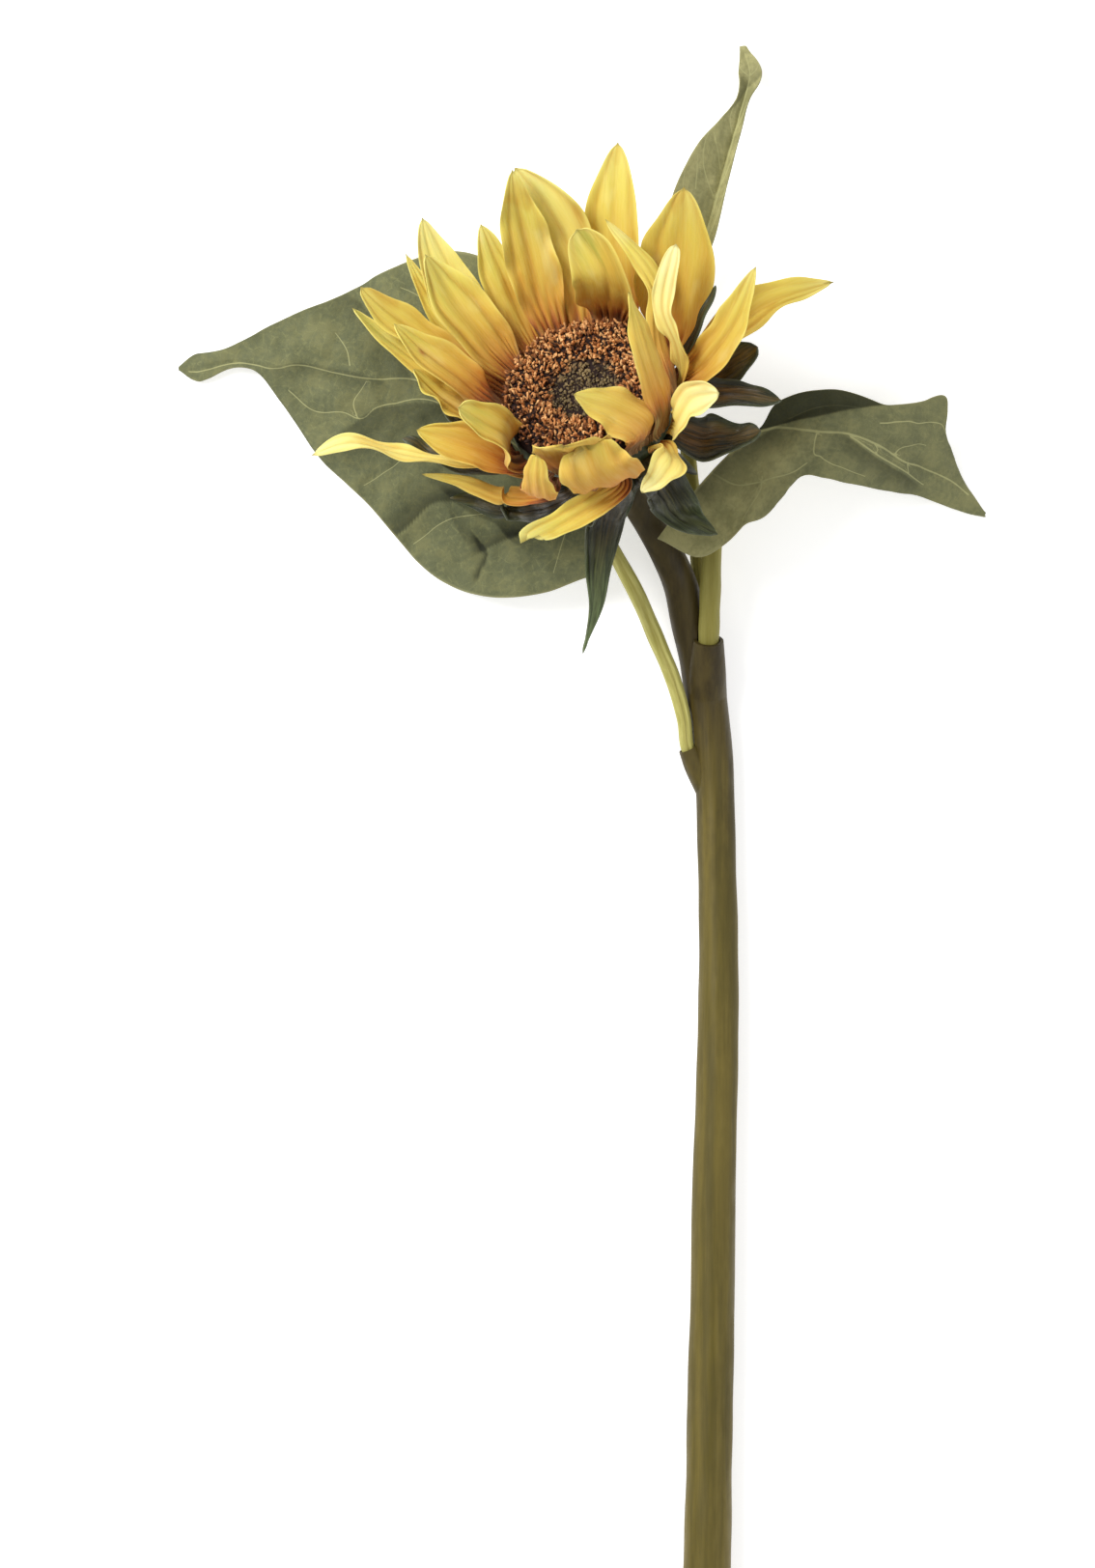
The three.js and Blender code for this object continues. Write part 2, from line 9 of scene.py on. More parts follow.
import bpy
import numpy as np
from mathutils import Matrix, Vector


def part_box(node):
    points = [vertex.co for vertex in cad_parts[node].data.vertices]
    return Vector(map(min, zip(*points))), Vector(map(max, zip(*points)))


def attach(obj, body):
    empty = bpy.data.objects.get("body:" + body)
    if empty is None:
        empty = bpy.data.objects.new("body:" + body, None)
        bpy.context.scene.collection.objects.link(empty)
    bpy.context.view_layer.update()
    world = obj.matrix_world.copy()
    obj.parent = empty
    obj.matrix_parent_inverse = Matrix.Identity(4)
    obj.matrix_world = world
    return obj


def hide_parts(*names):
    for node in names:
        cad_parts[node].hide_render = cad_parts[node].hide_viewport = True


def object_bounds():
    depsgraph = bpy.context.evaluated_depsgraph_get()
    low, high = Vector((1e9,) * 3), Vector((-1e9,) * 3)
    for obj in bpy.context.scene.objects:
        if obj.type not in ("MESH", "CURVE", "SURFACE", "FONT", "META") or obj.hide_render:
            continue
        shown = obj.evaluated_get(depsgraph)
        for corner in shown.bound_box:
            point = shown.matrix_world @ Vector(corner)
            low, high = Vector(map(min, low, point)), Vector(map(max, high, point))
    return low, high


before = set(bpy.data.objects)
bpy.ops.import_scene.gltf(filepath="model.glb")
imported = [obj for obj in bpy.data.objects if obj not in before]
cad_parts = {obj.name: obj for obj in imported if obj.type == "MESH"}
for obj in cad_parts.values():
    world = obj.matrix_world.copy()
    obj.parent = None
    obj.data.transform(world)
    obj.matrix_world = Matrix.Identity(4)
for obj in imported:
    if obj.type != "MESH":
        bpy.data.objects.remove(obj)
cad_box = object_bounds()

# ---- Driving dimensions, the same as the CAD's, in millimetres and degrees.

MM = 0.001
HEAD_CENTRE = np.array([1.5, -1.4, 64.5])
HEAD_TILT = math.radians(38)
HEAD_HEADING = math.radians(23.6)
DISC_RADIUS = 25.4
COLLAR_RADIUS = 25.8
COLLAR_TOP = -4.6
COLLAR_FOOT = -10.5
RECEPTACLE_FOOT = -26
GAP = 0.3

# The rows of petals and sepals on the receptacle, by height along the head's axis.
ROWS = dict(inner=-5.5, middle=-7.7, outer=-9.9, upperSepal=-12.6, lowerSepal=-15.2)

PETAL_CAD_THICKNESS = 0.7
SEPAL_CAD_THICKNESS = 0.9
LEAF_CAD_THICKNESS = 0.9

# ---- What is this script's own, from here to the petals, in millimetres where it is a length.

# How thick the cloth and the plastic of these are here, and the share of it that is left at their rims.
PETAL_CLOTH = 0.4
SEPAL_PLASTIC = 0.8
LEAF_CLOTH = 0.55
RIM_THINNING = 0.35

# How far petals stand further out than the gap, and how much wider than it the stem's bores are.
SEAT_EASE = 0.05
BORE_EASE = 0.15

# How fine things are made: points along and across a petal and a sepal, steps along a vein or a shade,
# and sides round the receptacle.
PETAL_STEPS = (90, 41)
SEPAL_STEPS = (60, 33)
LINE_STEPS = 260
RECEPTACLE_SIDES = 112

# The florets: how many, their sides, the turn from each to the next, how deep they are rooted, and their
# rings, each (share of the height, share of the girth).
FLORETS = 2500
FLORET_SIDES = 5
GOLDEN_ANGLE = 137.508
FLORET_ROOT = 0.6
FLORET_SHAPE = ((0, 0.6), (0.35, 0.75), (0.7, 1), (0.92, 1), (1, 0.35))

# The cloth and the bars laid flat: how many millimetres are one step of their UV maps.
CLOTH_STEP = 50
BAR_STEP = 100

# Where the chances of each kind of piece start.
PETAL_SEED, SEPAL_SEED, STEM_SEED, DISC_SEED = 700, 300, 41, 17

# ---- The pieces. Their shapes are the same as the CAD's.

# Each petal: the angle round the head where it sits (0 on the right, 90 at the top), its row, how
# steeply it leaves the collar (90 is along the head's axis), points its spine passes through if it does
# not simply bend over, where its tip ends, its width, how far its edges curl up as a share of its half
# width, its roll, its sideways bow, how far out it is widest and how pointed it is. Then its looks: how
# golden (tint), how much olive painted shade lies in the hollow of its tip, how pale it is, how much
# painted shade dims it where it faces the lamp, how far the rust of its base climbs, the place across
# and along of a blot, and in millimetres how ragged and how slanted (skew) its end is.
# A row gives only what differs from the plain petal.
PLAIN_BLADE = dict(cup=0.2, roll=0, bow=0, wide=1.12, point=0.75)
PLAIN_PETAL = dict(PLAIN_BLADE, tint=0.4, olive=0.15, pale=0, painted_dimming=0, rust=0, blot=None, ragged=0, skew=0)
PETALS = [
    # The far side, from the top round to the left
    dict(at=52.5, row="outer", lift=8, via=((10.2, 50.5, 46.5),), tip=(11.7, 74.3, 43), width=18, cup=0.25,
         wide=1.2, tint=0.25, painted_dimming=0.4),
    dict(at=93, row="middle", lift=50, tip=(-20.4, 65, 58.5), width=16, cup=0.3, bow=-1),
    dict(at=77, row="outer", lift=45, tip=(-19.4, 66, 52), width=22, bow=-3, point=0.6, tint=0.2,
         pale=0.25),
    dict(at=55, row="inner", lift=60, via=((6.6, 33, 71.5),), tip=(-0.8, 46.2, 71), width=19, cup=0.3,
         point=0.45, tint=0.6, olive=0.8, painted_dimming=0.3),
    dict(at=107, row="outer", lift=46, tip=(-29.8, 49.3, 47), width=14, bow=-1, tint=0.25),
    dict(at=120.5, row="outer", lift=25, tip=(-47.3, 51.7, 41.5), width=17, bow=1.5, tint=0.25, pale=0.3),
    dict(at=127, row="middle", lift=50, tip=(-46.5, 39.8, 52.5), width=18, cup=0.3, olive=0.4),
    dict(at=140.5, row="outer", lift=25, tip=(-66.2, 31, 38.1), width=12.7, bow=-1.5, wide=1.4, point=0.55,
         tint=0.5, painted_dimming=0.8),
    dict(at=152, row="outer", lift=8, tip=(-69, 24.8, 31), width=9, cup=0.15, bow=-5.5, tint=0.3, olive=0.8,
         painted_dimming=0.5),
    dict(at=158, row="inner", lift=50, tip=(-55.8, 18.4, 60.5), width=16, cup=0.3, bow=-1, tint=0.6,
         olive=0.5, blot=(0.1, 0.72), rust=0.4, painted_dimming=0.2),
    dict(at=168, row="middle", lift=40, tip=(-50, 4.6, 62), width=13, point=0.5, tint=0.5, olive=0.5,
         rust=0.4),
    dict(at=132, row="outer", lift=-3, tip=(-52.9, 41.5, 27.7), width=8.1, cup=0.15, bow=-2.5, wide=1.2),
    # The near left
    dict(at=199.5, row="inner", lift=40, via=((-23.4, -14.6, 78.4),), tip=(-36.4, -7.9, 85.4), width=15,
         cup=0.3, wide=0.6, point=0.4, roll=-51, tint=0.6, olive=0.5, rust=0.2),
    dict(at=204, row="middle", lift=28, via=((-32.1, -19.3, 72.3),), tip=(-48.8, -13.8, 71.7), width=13,
         cup=0.4, roll=-55, wide=1.2, tint=0.75, rust=0.6, painted_dimming=0.6),
    dict(at=214, row="outer", lift=20, via=((-29, -24, 63), (-52, -21.2, 60.5), (-69.5, -17.5, 58.5)),
         tip=(-80.6, -21, 57), width=8.6, wide=2.4, tint=0.15, pale=0.5, rust=0.15),
    dict(at=226, row="outer", lift=-20, via=((-22, -33.5, 56), (-38, -28, 53)), tip=(-47.5, -26.4, 52),
         width=6, roll=75, wide=0.9, tint=0.7, rust=0.5),
    dict(at=219, row="middle", lift=10, via=((-12, -34, 78), (-13.5, -29, 90)), tip=(-12.5, -22.5, 95),
         width=11, point=0.35, tint=1, rust=0.9),
    # The near side, standing towards the viewer
    dict(at=252, row="inner", lift=60, via=((-2, -21.5, 90),), tip=(-4.8, -19.5, 102), width=25, point=0.4,
         tint=1, olive=0.1, ragged=1.2, rust=1),
    dict(at=261, row="middle", lift=0, via=((9.4, -30.4, 84.5), (4.6, -26.7, 93.1)), tip=(1.7, -19.8, 97),
         width=22.7, cup=0.15, point=0.2, wide=1.3, tint=1, ragged=0.8, rust=1.1),
    dict(at=267, row="outer", lift=-23, via=((4.6, -35.9, 76.6),), tip=(-15, -47.2, 84.1), width=8.8,
         roll=-52, wide=1.3, point=0.2, tint=0.3, ragged=1, skew=3),
    dict(at=286.5, row="inner", lift=76, via=((19.2, -13.7, 84.1), (11.5, -8.6, 87.4)),
         tip=(-1.6, -4.2, 93.2), width=16.6, roll=23, wide=0.85, tint=0.6, rust=0.5),
    dict(at=307, row="middle", lift=80, via=((25, -9, 78), (21.5, 3.7, 87)), tip=(14.4, 26, 97), width=11,
         wide=0.8, tint=0.6, rust=0.8),
    dict(at=332, row="middle", lift=80, via=((23.3, 12.2, 72.4), (21.8, 29.3, 73.6)), tip=(7.7, 49.1, 72.9),
         width=7.4, roll=-26, bow=1, tint=0.25, rust=0.3),
    # The right side
    dict(at=344, row="middle", lift=54, via=((29.7, 10.6, 75.1), (24.7, 21.9, 80.7)), tip=(28.7, 41, 84.1),
         width=7, roll=61, wide=1.7, point=0.4, tint=0.1, pale=0.9),
    dict(at=12, row="outer", lift=55, tip=(31.4, 58.8, 71), width=25.5, roll=30, bow=2, wide=1.25, tint=0.5,
         painted_dimming=0.9),
    dict(at=345, row="outer", lift=60, via=((38, 6.5, 73), (46, 18, 79.5)), tip=(52.6, 34.2, 84), width=13,
         roll=25, painted_dimming=0.4),
    dict(at=356.5, row="outer", lift=6, via=((54.4, 24.5, 59.4),), tip=(76, 31.1, 55.7), width=15, wide=1.1,
         tint=0.3, ragged=0.6, painted_dimming=0.9),
    dict(at=313.5, row="outer", lift=59, via=((29.2, -12.7, 77.9), (32.8, -5.6, 85.5)),
         tip=(41.6, -3.8, 90), width=12, roll=40, wide=1.5, point=0.6, tint=0.1, pale=0.9),
    dict(at=298, row="outer", lift=35, via=((27.2, -23, 79),), tip=(18.3, -33.6, 90), width=10.8, roll=-65,
         wide=0.9, tint=0.1, pale=0.7),
]

# Each sepal, described as a petal is, with how flushed with orange and how green it is, and how high
# its crumples stand in millimetres.
PLAIN_SEPAL = dict(PLAIN_BLADE, flush=0.3, green=0.2, crumple=0.2)
SEPALS = [
    dict(at=1, row="middle", lift=55, via=((33, 11.5, 68.5),), tip=(40.6, 29.2, 75), width=3.6, point=0.5,
         flush=0.2),
    dict(at=353, row="lowerSepal", lift=15, via=((41, 3.5, 52),), tip=(53.5, 12, 55), width=12, roll=25,
         wide=1.6, point=0.5, flush=0.5, crumple=0.3),
    dict(at=340, row="upperSepal", lift=25, via=((46, -3, 62),), tip=(61, -4, 60), width=11, flush=0.45,
         crumple=0.4),
    dict(at=318, row="lowerSepal", lift=20, via=((38, -17, 62),), tip=(54.5, -13.8, 64), width=15,
         point=0.6, flush=0.5, crumple=0.5),
    dict(at=291, row="upperSepal", lift=0, via=((26, -30.5, 53.6), (30.5, -37.3, 49)),
         tip=(41.3, -44.3, 44), width=17, cup=0.3, wide=0.8, flush=0.1, green=0.4, crumple=2),
    dict(at=262, row="upperSepal", lift=-10, via=((8, -40, 50), (6, -54, 44), (5, -66, 38)),
         tip=(1.2, -80.5, 34), width=12.5, cup=0.25, wide=0.65, point=1.2, flush=0.1, green=0.8,
         crumple=0.9),
    dict(at=234, row="lowerSepal", lift=0, via=((-20, -36, 46),), tip=(-39, -33, 43), width=10, roll=50,
         flush=0.2, crumple=1.2),
    dict(at=190, row="upperSepal", lift=0, tip=(-53.5, -15.2, 46), width=11, bow=-3, crumple=1),
    dict(at=280, row="lowerSepal", lift=-30, via=((13, -34, 46),), tip=(11.5, -42.6, 40), width=9,
         green=0.4),
    dict(at=30, row="lowerSepal", lift=10, tip=(36, 30, 40), width=13),
    dict(at=62, row="upperSepal", lift=15, tip=(8, 46, 35), width=13),
    dict(at=95, row="lowerSepal", lift=15, tip=(-20, 40, 31), width=13),
    dict(at=128, row="lowerSepal", lift=0, tip=(-41, 30, 24), width=13),
    dict(at=160, row="upperSepal", lift=5, tip=(-42, 9, 33), width=13),
]

# Each leaf: points that its midrib passes through from the base, and at even steps from base to tip the
# half widths of its two sides (seen from above, looking from the base to the tip) and how steeply each
# side rises from the midrib; how much more it rises towards its edge (curl), the height and number of the
# waves of its edge, how far its lobes reach back beside the stalk, how late they start to (sweep), and how
# far from the end its tip rounds off (blunt). Then the pairs of side veins drawn by rule, the height of
# its puckers, how pale the leaf is, how much painted light lifts the start of its right side out of the
# head's shadow, and its grid.
# Veins: the half width of a line in millimetres, and its points as (across from -1 to 1, along from 0 to 1).
# Folds: (x, y, heading, length, width, height) in flat millimetres. Painted shades, painted shade beside a
# fold and painted shadow under what lies over the leaf: how strong and how wide in millimetres is the painted
# dark to the left of a line, and the line's points.
LEAVES = dict(
    leaf_left=dict(
        midrib=((3.5, -36, 21), (-24, -20, 20), (-50, -6, 17), (-76, 3, 13), (-103, 10.5, 5), (-123.3, 8, 0)),
        left=(17, 29.5, 38, 42.5, 43.8, 42.5, 39.5, 36.5, 33, 29.5, 25.5, 18.5, 11, 3.8, 2.8, 5.3, 6),
        right=(12, 34, 46, 52, 52, 38, 20, 4.3, 4.2),
        leftRise=(-5, -10, -12, -15, -10), rightRise=(-5, -5, -5, -5, -5),
        curl=-8, wave=2, waves=5, leftLobe=12, rightLobe=12, sweep=1.5, blunt=0.025,
        pairs=0, puckers=0.7, paleness_and_painted_light=0, lobe_painted_light=0, seed=3, grid=(200, 151),
        veins=(
            (0.45, (-0.05, 0), (-0.12, 0.2), (-0.17, 0.463), (-0.1, 0.559), (-0.09, 0.647), (-0.1, 0.716),
             (0.3, 0.8), (0.5, 0.86), (0.4, 0.969)),
            (0.36, (-0.05, 0.02), (0, 0.2), (-0.1, 0.406), (0, 0.488), (0.1, 0.525), (0.28, 0.562),
             (0.28, 0.594), (0.5, 0.684), (0.49, 0.722)),
            (0.26, (0.28, 0.562), (0.14, 0.578), (-0.06, 0.566)),
            (0.26, (-0.2, 0.616), (-0.29, 0.628), (-0.44, 0.663)),
            (0.28, (0.02, 0.12), (0.12, 0.3), (0.31, 0.406), (0.55, 0.453), (0.83, 0.503)),
            (0.28, (-0.03, 0.05), (0.3, 0.16), (0.55, 0.27), (0.88, 0.33)),
            (0.26, (0, 0.02), (0.4, 0.04), (0.79, 0.053)),
            (0.3, (-0.1, 0.12), (-0.4, 0.24), (-0.7, 0.4), (-0.85, 0.5)),
            (0.28, (-0.14, 0.3), (-0.45, 0.42), (-0.75, 0.56)),
        ),
        folds=((36.7, 49.3, 205, 18, 3.2, 1.3), (24, 24, 100, 9, 3, -1.2), (25.5, 20.5, -15, 9, 2.2, 1.5),
               (16, 27, 95, 16, 5, -1.6), (-5, 90, 92, 16, 4, -1)),
        painted_shades=(
            (0.75, 6, (0.93, 0.372), (0.74, 0.347), (0.55, 0.319), (0.45, 0.281)),
            (0.7, 4, (0.66, 0.181), (0.56, 0.153), (0.48, 0.122), (0.35, 0.088)),
            (0.45, 8, (0.45, 0.281), (0.46, 0.238), (0.45, 0.188), (0.53, 0.144)),
            (0.9, 2, (0.86, 0.178), (0.66, 0.175), (0.59, 0.206)),
            (0.4, 3, (0.56, 0.275), (0.64, 0.241)),
            (0.35, 5, (-0.12, 0.562), (-0.14, 0.65), (-0.14, 0.719), (-0.02, 0.763)),
            (0.5, 16, (-0.1, 0.403), (-0.02, 0.469), (0.1, 0.525), (0.3, 0.562)),
            (0.4, 8, (-0.2, 0.484), (-0.46, 0.575), (-0.79, 0.65)),
        ),
    ),
    leaf_right=dict(
        midrib=((55, -12.5, 27), (70, -12, 30), (86, -16, 27), (99, -22, 18), (110, -29, 8), (125, -37, -1)),
        left=(1, 7.5, 10.3, 12.2, 13.7, 14, 13.9, 14, 17, 20.5, 25, 15.5, 12.5, 9.5, 6, 3, 0.6),
        right=(33, 38, 35.5, 32, 29, 16, 14, 13.5, 12.3, 11, 9.5, 7.6, 5.2, 4, 3.2, 2.2, 0.6),
        leftRise=(0, -10, -10, -10, 0), rightRise=(16, 8, -5, -10, 0),
        curl=0, wave=1, waves=4, leftLobe=0, rightLobe=31, sweep=0.75, blunt=0,
        pairs=0, puckers=0.4, paleness_and_painted_light=0.12, lobe_painted_light=0.7, seed=4, grid=(150, 111),
        veins=(
            (0.6, (0, 0), (0.12, 0.034), (0, 0.131), (-0.01, 0.231), (0.09, 0.328), (0.09, 0.434),
             (0.03, 0.594), (0.24, 0.725), (0.6, 0.891)),
            (0.4, (0.04, 0.338), (-0.11, 0.459), (-0.17, 0.619), (-0.24, 0.706)),
            (0.26, (0.09, 0.43), (0, 0.45), (-0.11, 0.459)),
            (0.26, (0.03, 0.6), (-0.08, 0.615), (-0.17, 0.63)),
            (0.26, (0.05, 0.53), (0.25, 0.56), (0.33, 0.62)),
            (0.32, (0.58, 0.447), (0.66, 0.528), (0.61, 0.603), (0.93, 0.675)),
            (0.3, (-0.02, 0.222), (-0.15, 0.247), (-0.47, 0.309), (-0.64, 0.359), (-0.72, 0.478)),
            (0.4, (-0.38, 0), (-0.4, 0.028), (-0.46, 0.109), (-0.52, 0.191), (-0.49, 0.244), (-0.47, 0.272)),
            (0.3, (-0.48, 0.15), (-0.62, 0.17), (-0.85, 0.16)),
            (0.26, (0.35, 0.12), (0.6, 0.22), (0.72, 0.33)),
        ),
        folds=((7, 19, 72, 18, 1.8, -0.9), (-1.5, 45, 90, 16, 1.6, 0.8), (3, 45, 90, 16, 1.6, -0.7)),
        painted_shades=(
            (0.85, 26, (0.12, 0.034), (0.18, 0.119), (0.33, 0.216), (0.59, 0.309), (0.95, 0.425)),
            (0.6, 6, (-0.02, 0.031), (-0.25, 0), (-0.5, 0)),
            (0.5, 5, (-0.24, 0.638), (-0.16, 0.469), (-0.01, 0.353)),
        ),
    ),
    leaf_top=dict(
        midrib=((34.5, 37, 12), (38.5, 48, 14), (41.5, 59, 14), (45.5, 73, 12.5), (48.8, 84, 10.5),
                (50.8, 91, 8.5), (52.4, 98, 6), (50.4, 107, 3)),
        left=(8, 14, 17, 16.5, 13.5, 7, 2.5, 3.5, 1),
        right=(3, 4, 4, 3.5, 3, 2.5, 2, 4, 1),
        leftRise=(40, 42, 45, 30, 0), rightRise=(40, 40, 40, 30, 0),
        curl=0, wave=0.5, waves=3, leftLobe=5, rightLobe=2, sweep=1.5, blunt=0,
        pairs=4, puckers=0.25, paleness_and_painted_light=0.72, lobe_painted_light=0, seed=5, grid=(130, 71),
        veins=(
            (0.5, (0, 0), (-0.2, 0.2), (-0.3, 0.43), (-0.2, 0.64), (-0.1, 0.8), (0, 0.95)),
            (0.3, (0.56, 0.344), (0.66, 0.394), (0.81, 0.447)),
            (0.26, (0.14, 0.453), (0.35, 0.506), (0.68, 0.553)),
        ),
        folds=((1, 62, 60, 8, 1.5, -0.6),),
        painted_shades=((0.4, 5, (0.7, 0.7), (0.1, 0.78), (-0.8, 0.84)),),
    ),
)

# Each leaf stalk: (x, y, z, radius) from the bottom of its bore in the stem to its leaf, the socket that
# stands out from the stem around its end, and how deep its colour is.
STALKS = dict(
    petiole_left=dict(
        line=((35.6, -113.5, 7.2, 2), (33.3, -108.5, 8.6, 2.1), (32.2, -100, 10.6, 2.2), (28.9, -88, 13, 2.4),
              (23.9, -76, 15.4, 2.5), (17.9, -62.3, 18, 2.5), (11, -49.5, 20, 2.3), (4.7, -37.9, 21, 1.6)),
        socket=((39.5, -122, 6, 3.6), (36, -114, 7, 3.8), (33.6, -109, 8.3, 3.1)), seed=11, deep=0,
    ),
    petiole_right=dict(
        line=((39.4, -83, 13.5, 3), (39.8, -73, 16.5, 3.2), (40.2, -60, 18, 3.2), (41, -45, 19.5, 3),
              (45.5, -29, 21.4, 2.6), (50, -18, 23.3, 2.1), (54.6, -12.8, 25, 1.3)),
        socket=((39.2, -93, 7.2, 6.3), (39.4, -84, 12, 5.6), (39.7, -76, 16, 4.6)), seed=12, deep=0.75,
    ),
    petiole_top=dict(
        line=((36.5, -72, 8, 2.2), (37.2, -62, 8, 2.3), (35.6, -40, 9, 2.5), (33.4, -16, 10.5, 2.4),
              (33.4, 15, 11.5, 2.2), (34, 35.2, 12, 1.5)),
        socket=((36.5, -82, 7.4, 5), (36.8, -73, 8, 4.4), (37, -64, 8, 3.4)), seed=13, deep=0.75,
    ),
)

# The stem's centreline with its radius there, from the cut end up to its neck under the receptacle.
STEM_LINE = (
    (37.3, -460, 8, 8), (39.4, -359, 7.3, 7.3), (41.8, -236, 6.6, 6.6), (42.9, -188, 6.2, 6.2),
    (42.7, -150, 5.9, 5.9), (41.6, -118, 6, 6), (39.4, -97, 6.6, 6.5), (37.4, -82, 8.2, 6.4),
    (34, -71, 10.4, 5.6), (31, -59, 13.8, 5.2), (27, -50, 17.2, 5), (21.8, -41, 21.5, 4.7),
    (16, -32, 26.8, 4.4),
)
CUT_SLANT = 0.6
CUT_RUN = 14
NECK_RADIUS, NECK_BELOW = 4.4, 9
STEM_TOP_RADIUS = 5.4

# The receptacle's swelling under the sepals' feet: how far out, at what height, and how far up and down.
SWELLING, SWELLING_HEIGHT, SWELLING_SPREAD = 1, -13.2, 2.2

# Sections of the seed disc and the receptacle, (radius, height along the head's axis), from below to above.
# The disc's upper side, which carries the florets, starts at its point CUSHION_TOP.
DISC_PROFILE = tuple((share * DISC_RADIUS, height) for share, height in (
    (1, COLLAR_TOP + GAP), (1, -2.6), (0.96, -0.6), (0.87, 1.3), (0.72, 1.8), (0.56, 0.9), (0.42, -0.7),
    (0.24, -1.8), (0.06, -2)))
CUSHION_TOP = 3
RECEPTACLE_PROFILE = (
    (5.8, RECEPTACLE_FOOT), (7.4, -22.6), (15.8, -19.5), (21.8, -16.1), (24.6, -12.9),
    (COLLAR_RADIUS, COLLAR_FOOT), (COLLAR_RADIUS, COLLAR_TOP))

# Camera, floor and light. The camera's place is in millimetres, the lamps' are in metres from the middle.
CAMERA_PLACE = (-9.6, -120, 2664.5)
LENS = 198.7
FLOOR_HALF = 3
FLOOR_HEIGHT = -0.0002
FLOOR_GLOW = 0.5
SKY = 0.55
LAMPS = (
    ("key_lamp", (-1.1, 0.9, 1.5), 40, 0.9),
    ("fill_lamp", (1.2, -0.6, 1.3), 7, 1.5),
)
# Where the stem turns from olive to brown, in metres up the frame.
NECK_START, NECK_END = 0.03, 0.10

# ---- The head's own directions, and the way from the floor under the disc to the CAD frame.

AXIS = np.array([
    -math.sin(HEAD_TILT) * math.sin(HEAD_HEADING),
    math.sin(HEAD_TILT) * math.cos(HEAD_HEADING),
    math.cos(HEAD_TILT),
])
ACROSS = np.array([math.cos(HEAD_HEADING), math.sin(HEAD_HEADING), 0])
UPWARD = np.cross(AXIS, ACROSS)

# ---- Curves and grids. Arrays hold whole rows of points, and a grid is (along, across, xyz).


def unit(vectors):
    """The vectors divided by their lengths."""
    return vectors / np.linalg.norm(vectors, axis=-1, keepdims=True)


def smooth_line(points, per_span=48):
    """A smooth line through points: each span is the cubic between two of them whose end slopes come from
    their neighbours, with the knots spaced by the square root of the distance. A fourth column, such as
    a radius, is carried along with the same cubics."""
    points = np.asarray(points, float)
    ends = np.vstack([2 * points[0] - points[1], points, 2 * points[-1] - points[-2]])
    f = np.linspace(0, 1, per_span, endpoint=False)[:, None]
    spans = []
    for a, b, c, d in zip(ends, ends[1:], ends[2:], ends[3:]):
        before, knot, after = (np.linalg.norm(step[:3]) ** 0.5 for step in (b - a, c - b, d - c))
        start = ((b - a) / before - (c - a) / (before + knot) + (c - b) / knot) * knot
        end = ((c - b) / knot - (d - b) / (knot + after) + (d - c) / after) * knot
        spans.append(b * (2 * f**3 - 3 * f**2 + 1) + start * (f**3 - 2 * f**2 + f)
                     + c * (3 * f**2 - 2 * f**3) + end * (f**3 - f**2))
    return np.vstack([*spans, points[-1:]])


def follow(line, fractions):
    """Places, with any fourth column, and unit directions at fractions of a line's length."""
    length = np.concatenate([[0], np.cumsum(np.linalg.norm(np.diff(line[:, :3], axis=0), axis=1))])
    at = fractions * length[-1]
    slope = np.gradient(line[:, :3], length, axis=0)
    place = np.stack([np.interp(at, length, column) for column in line.T], axis=-1)
    ahead = np.stack([np.interp(at, length, column) for column in slope.T], axis=-1)
    return place, unit(ahead)


def stations(values, along):
    """A smooth curve through evenly spaced values, read at `along` from 0 to 1: Catmull-Rom cubics."""
    values = np.asarray(values, float)
    place = np.clip(along, 0, 1) * (len(values) - 1)
    i = np.minimum(place.astype(int), len(values) - 2)
    f = place - i
    before, a, b = values[np.maximum(i - 1, 0)], values[i], values[i + 1]
    after = values[np.minimum(i + 2, len(values) - 1)]
    return 0.5 * (2 * a + (b - before) * f + (2 * before - 5 * a + 4 * b - after) * f**2
                  + (3 * a - before - 3 * b + after) * f**3)


def smoothstep(low, high, x):
    """0 below low, 1 above high, and a smooth S between them."""
    t = np.clip((x - low) / (high - low), 0, 1)
    return t * t * (3 - 2 * t)


def ripple(rng, x, waves, count=4):
    """A gentle irregular wave of x from 0 to 1, about -1 to 1: a few sines of near frequencies, added."""
    frequency = waves * rng.uniform(0.5, 1.5, count)
    phase = rng.uniform(0, 2 * np.pi, count)
    return np.sin(2 * np.pi * np.multiply.outer(x, frequency) + phase).sum(-1) / count**0.5


def hills(rng, x, y, size, count=24):
    """Low smooth hills over a plane, about -1 to 1: plane waves in all directions, `size` apart, added."""
    angle = rng.uniform(0, 2 * np.pi, count)
    length = size * rng.uniform(0.7, 1.8, count)
    phase = rng.uniform(0, 2 * np.pi, count)
    turn = 2 * np.pi / length
    rightwards = np.multiply.outer(x, np.cos(angle) * turn)
    upwards = np.multiply.outer(y, np.sin(angle) * turn)
    return np.sin(rightwards + upwards + phase).sum(-1) / count**0.5


def grid_normals(grid):
    """Unit normals of a grid: the cross product of its slopes along and across."""
    return unit(np.cross(np.gradient(grid, axis=0), np.gradient(grid, axis=1)))


def grid_quads(rows, columns, wrap=False):
    """The corner numbers of a grid's four-sided faces, and each corner's (column, row)."""
    i, j = np.meshgrid(np.arange(rows - 1), np.arange(columns if wrap else columns - 1), indexing="ij")
    corner_rows = np.stack([i, i, i + 1, i + 1], -1).reshape(-1, 4)
    corner_columns = np.stack([j, j + 1, j + 1, j], -1).reshape(-1, 4)
    return corner_rows * columns + corner_columns % columns, np.stack([corner_columns, corner_rows], -1)


# ---- Meshes


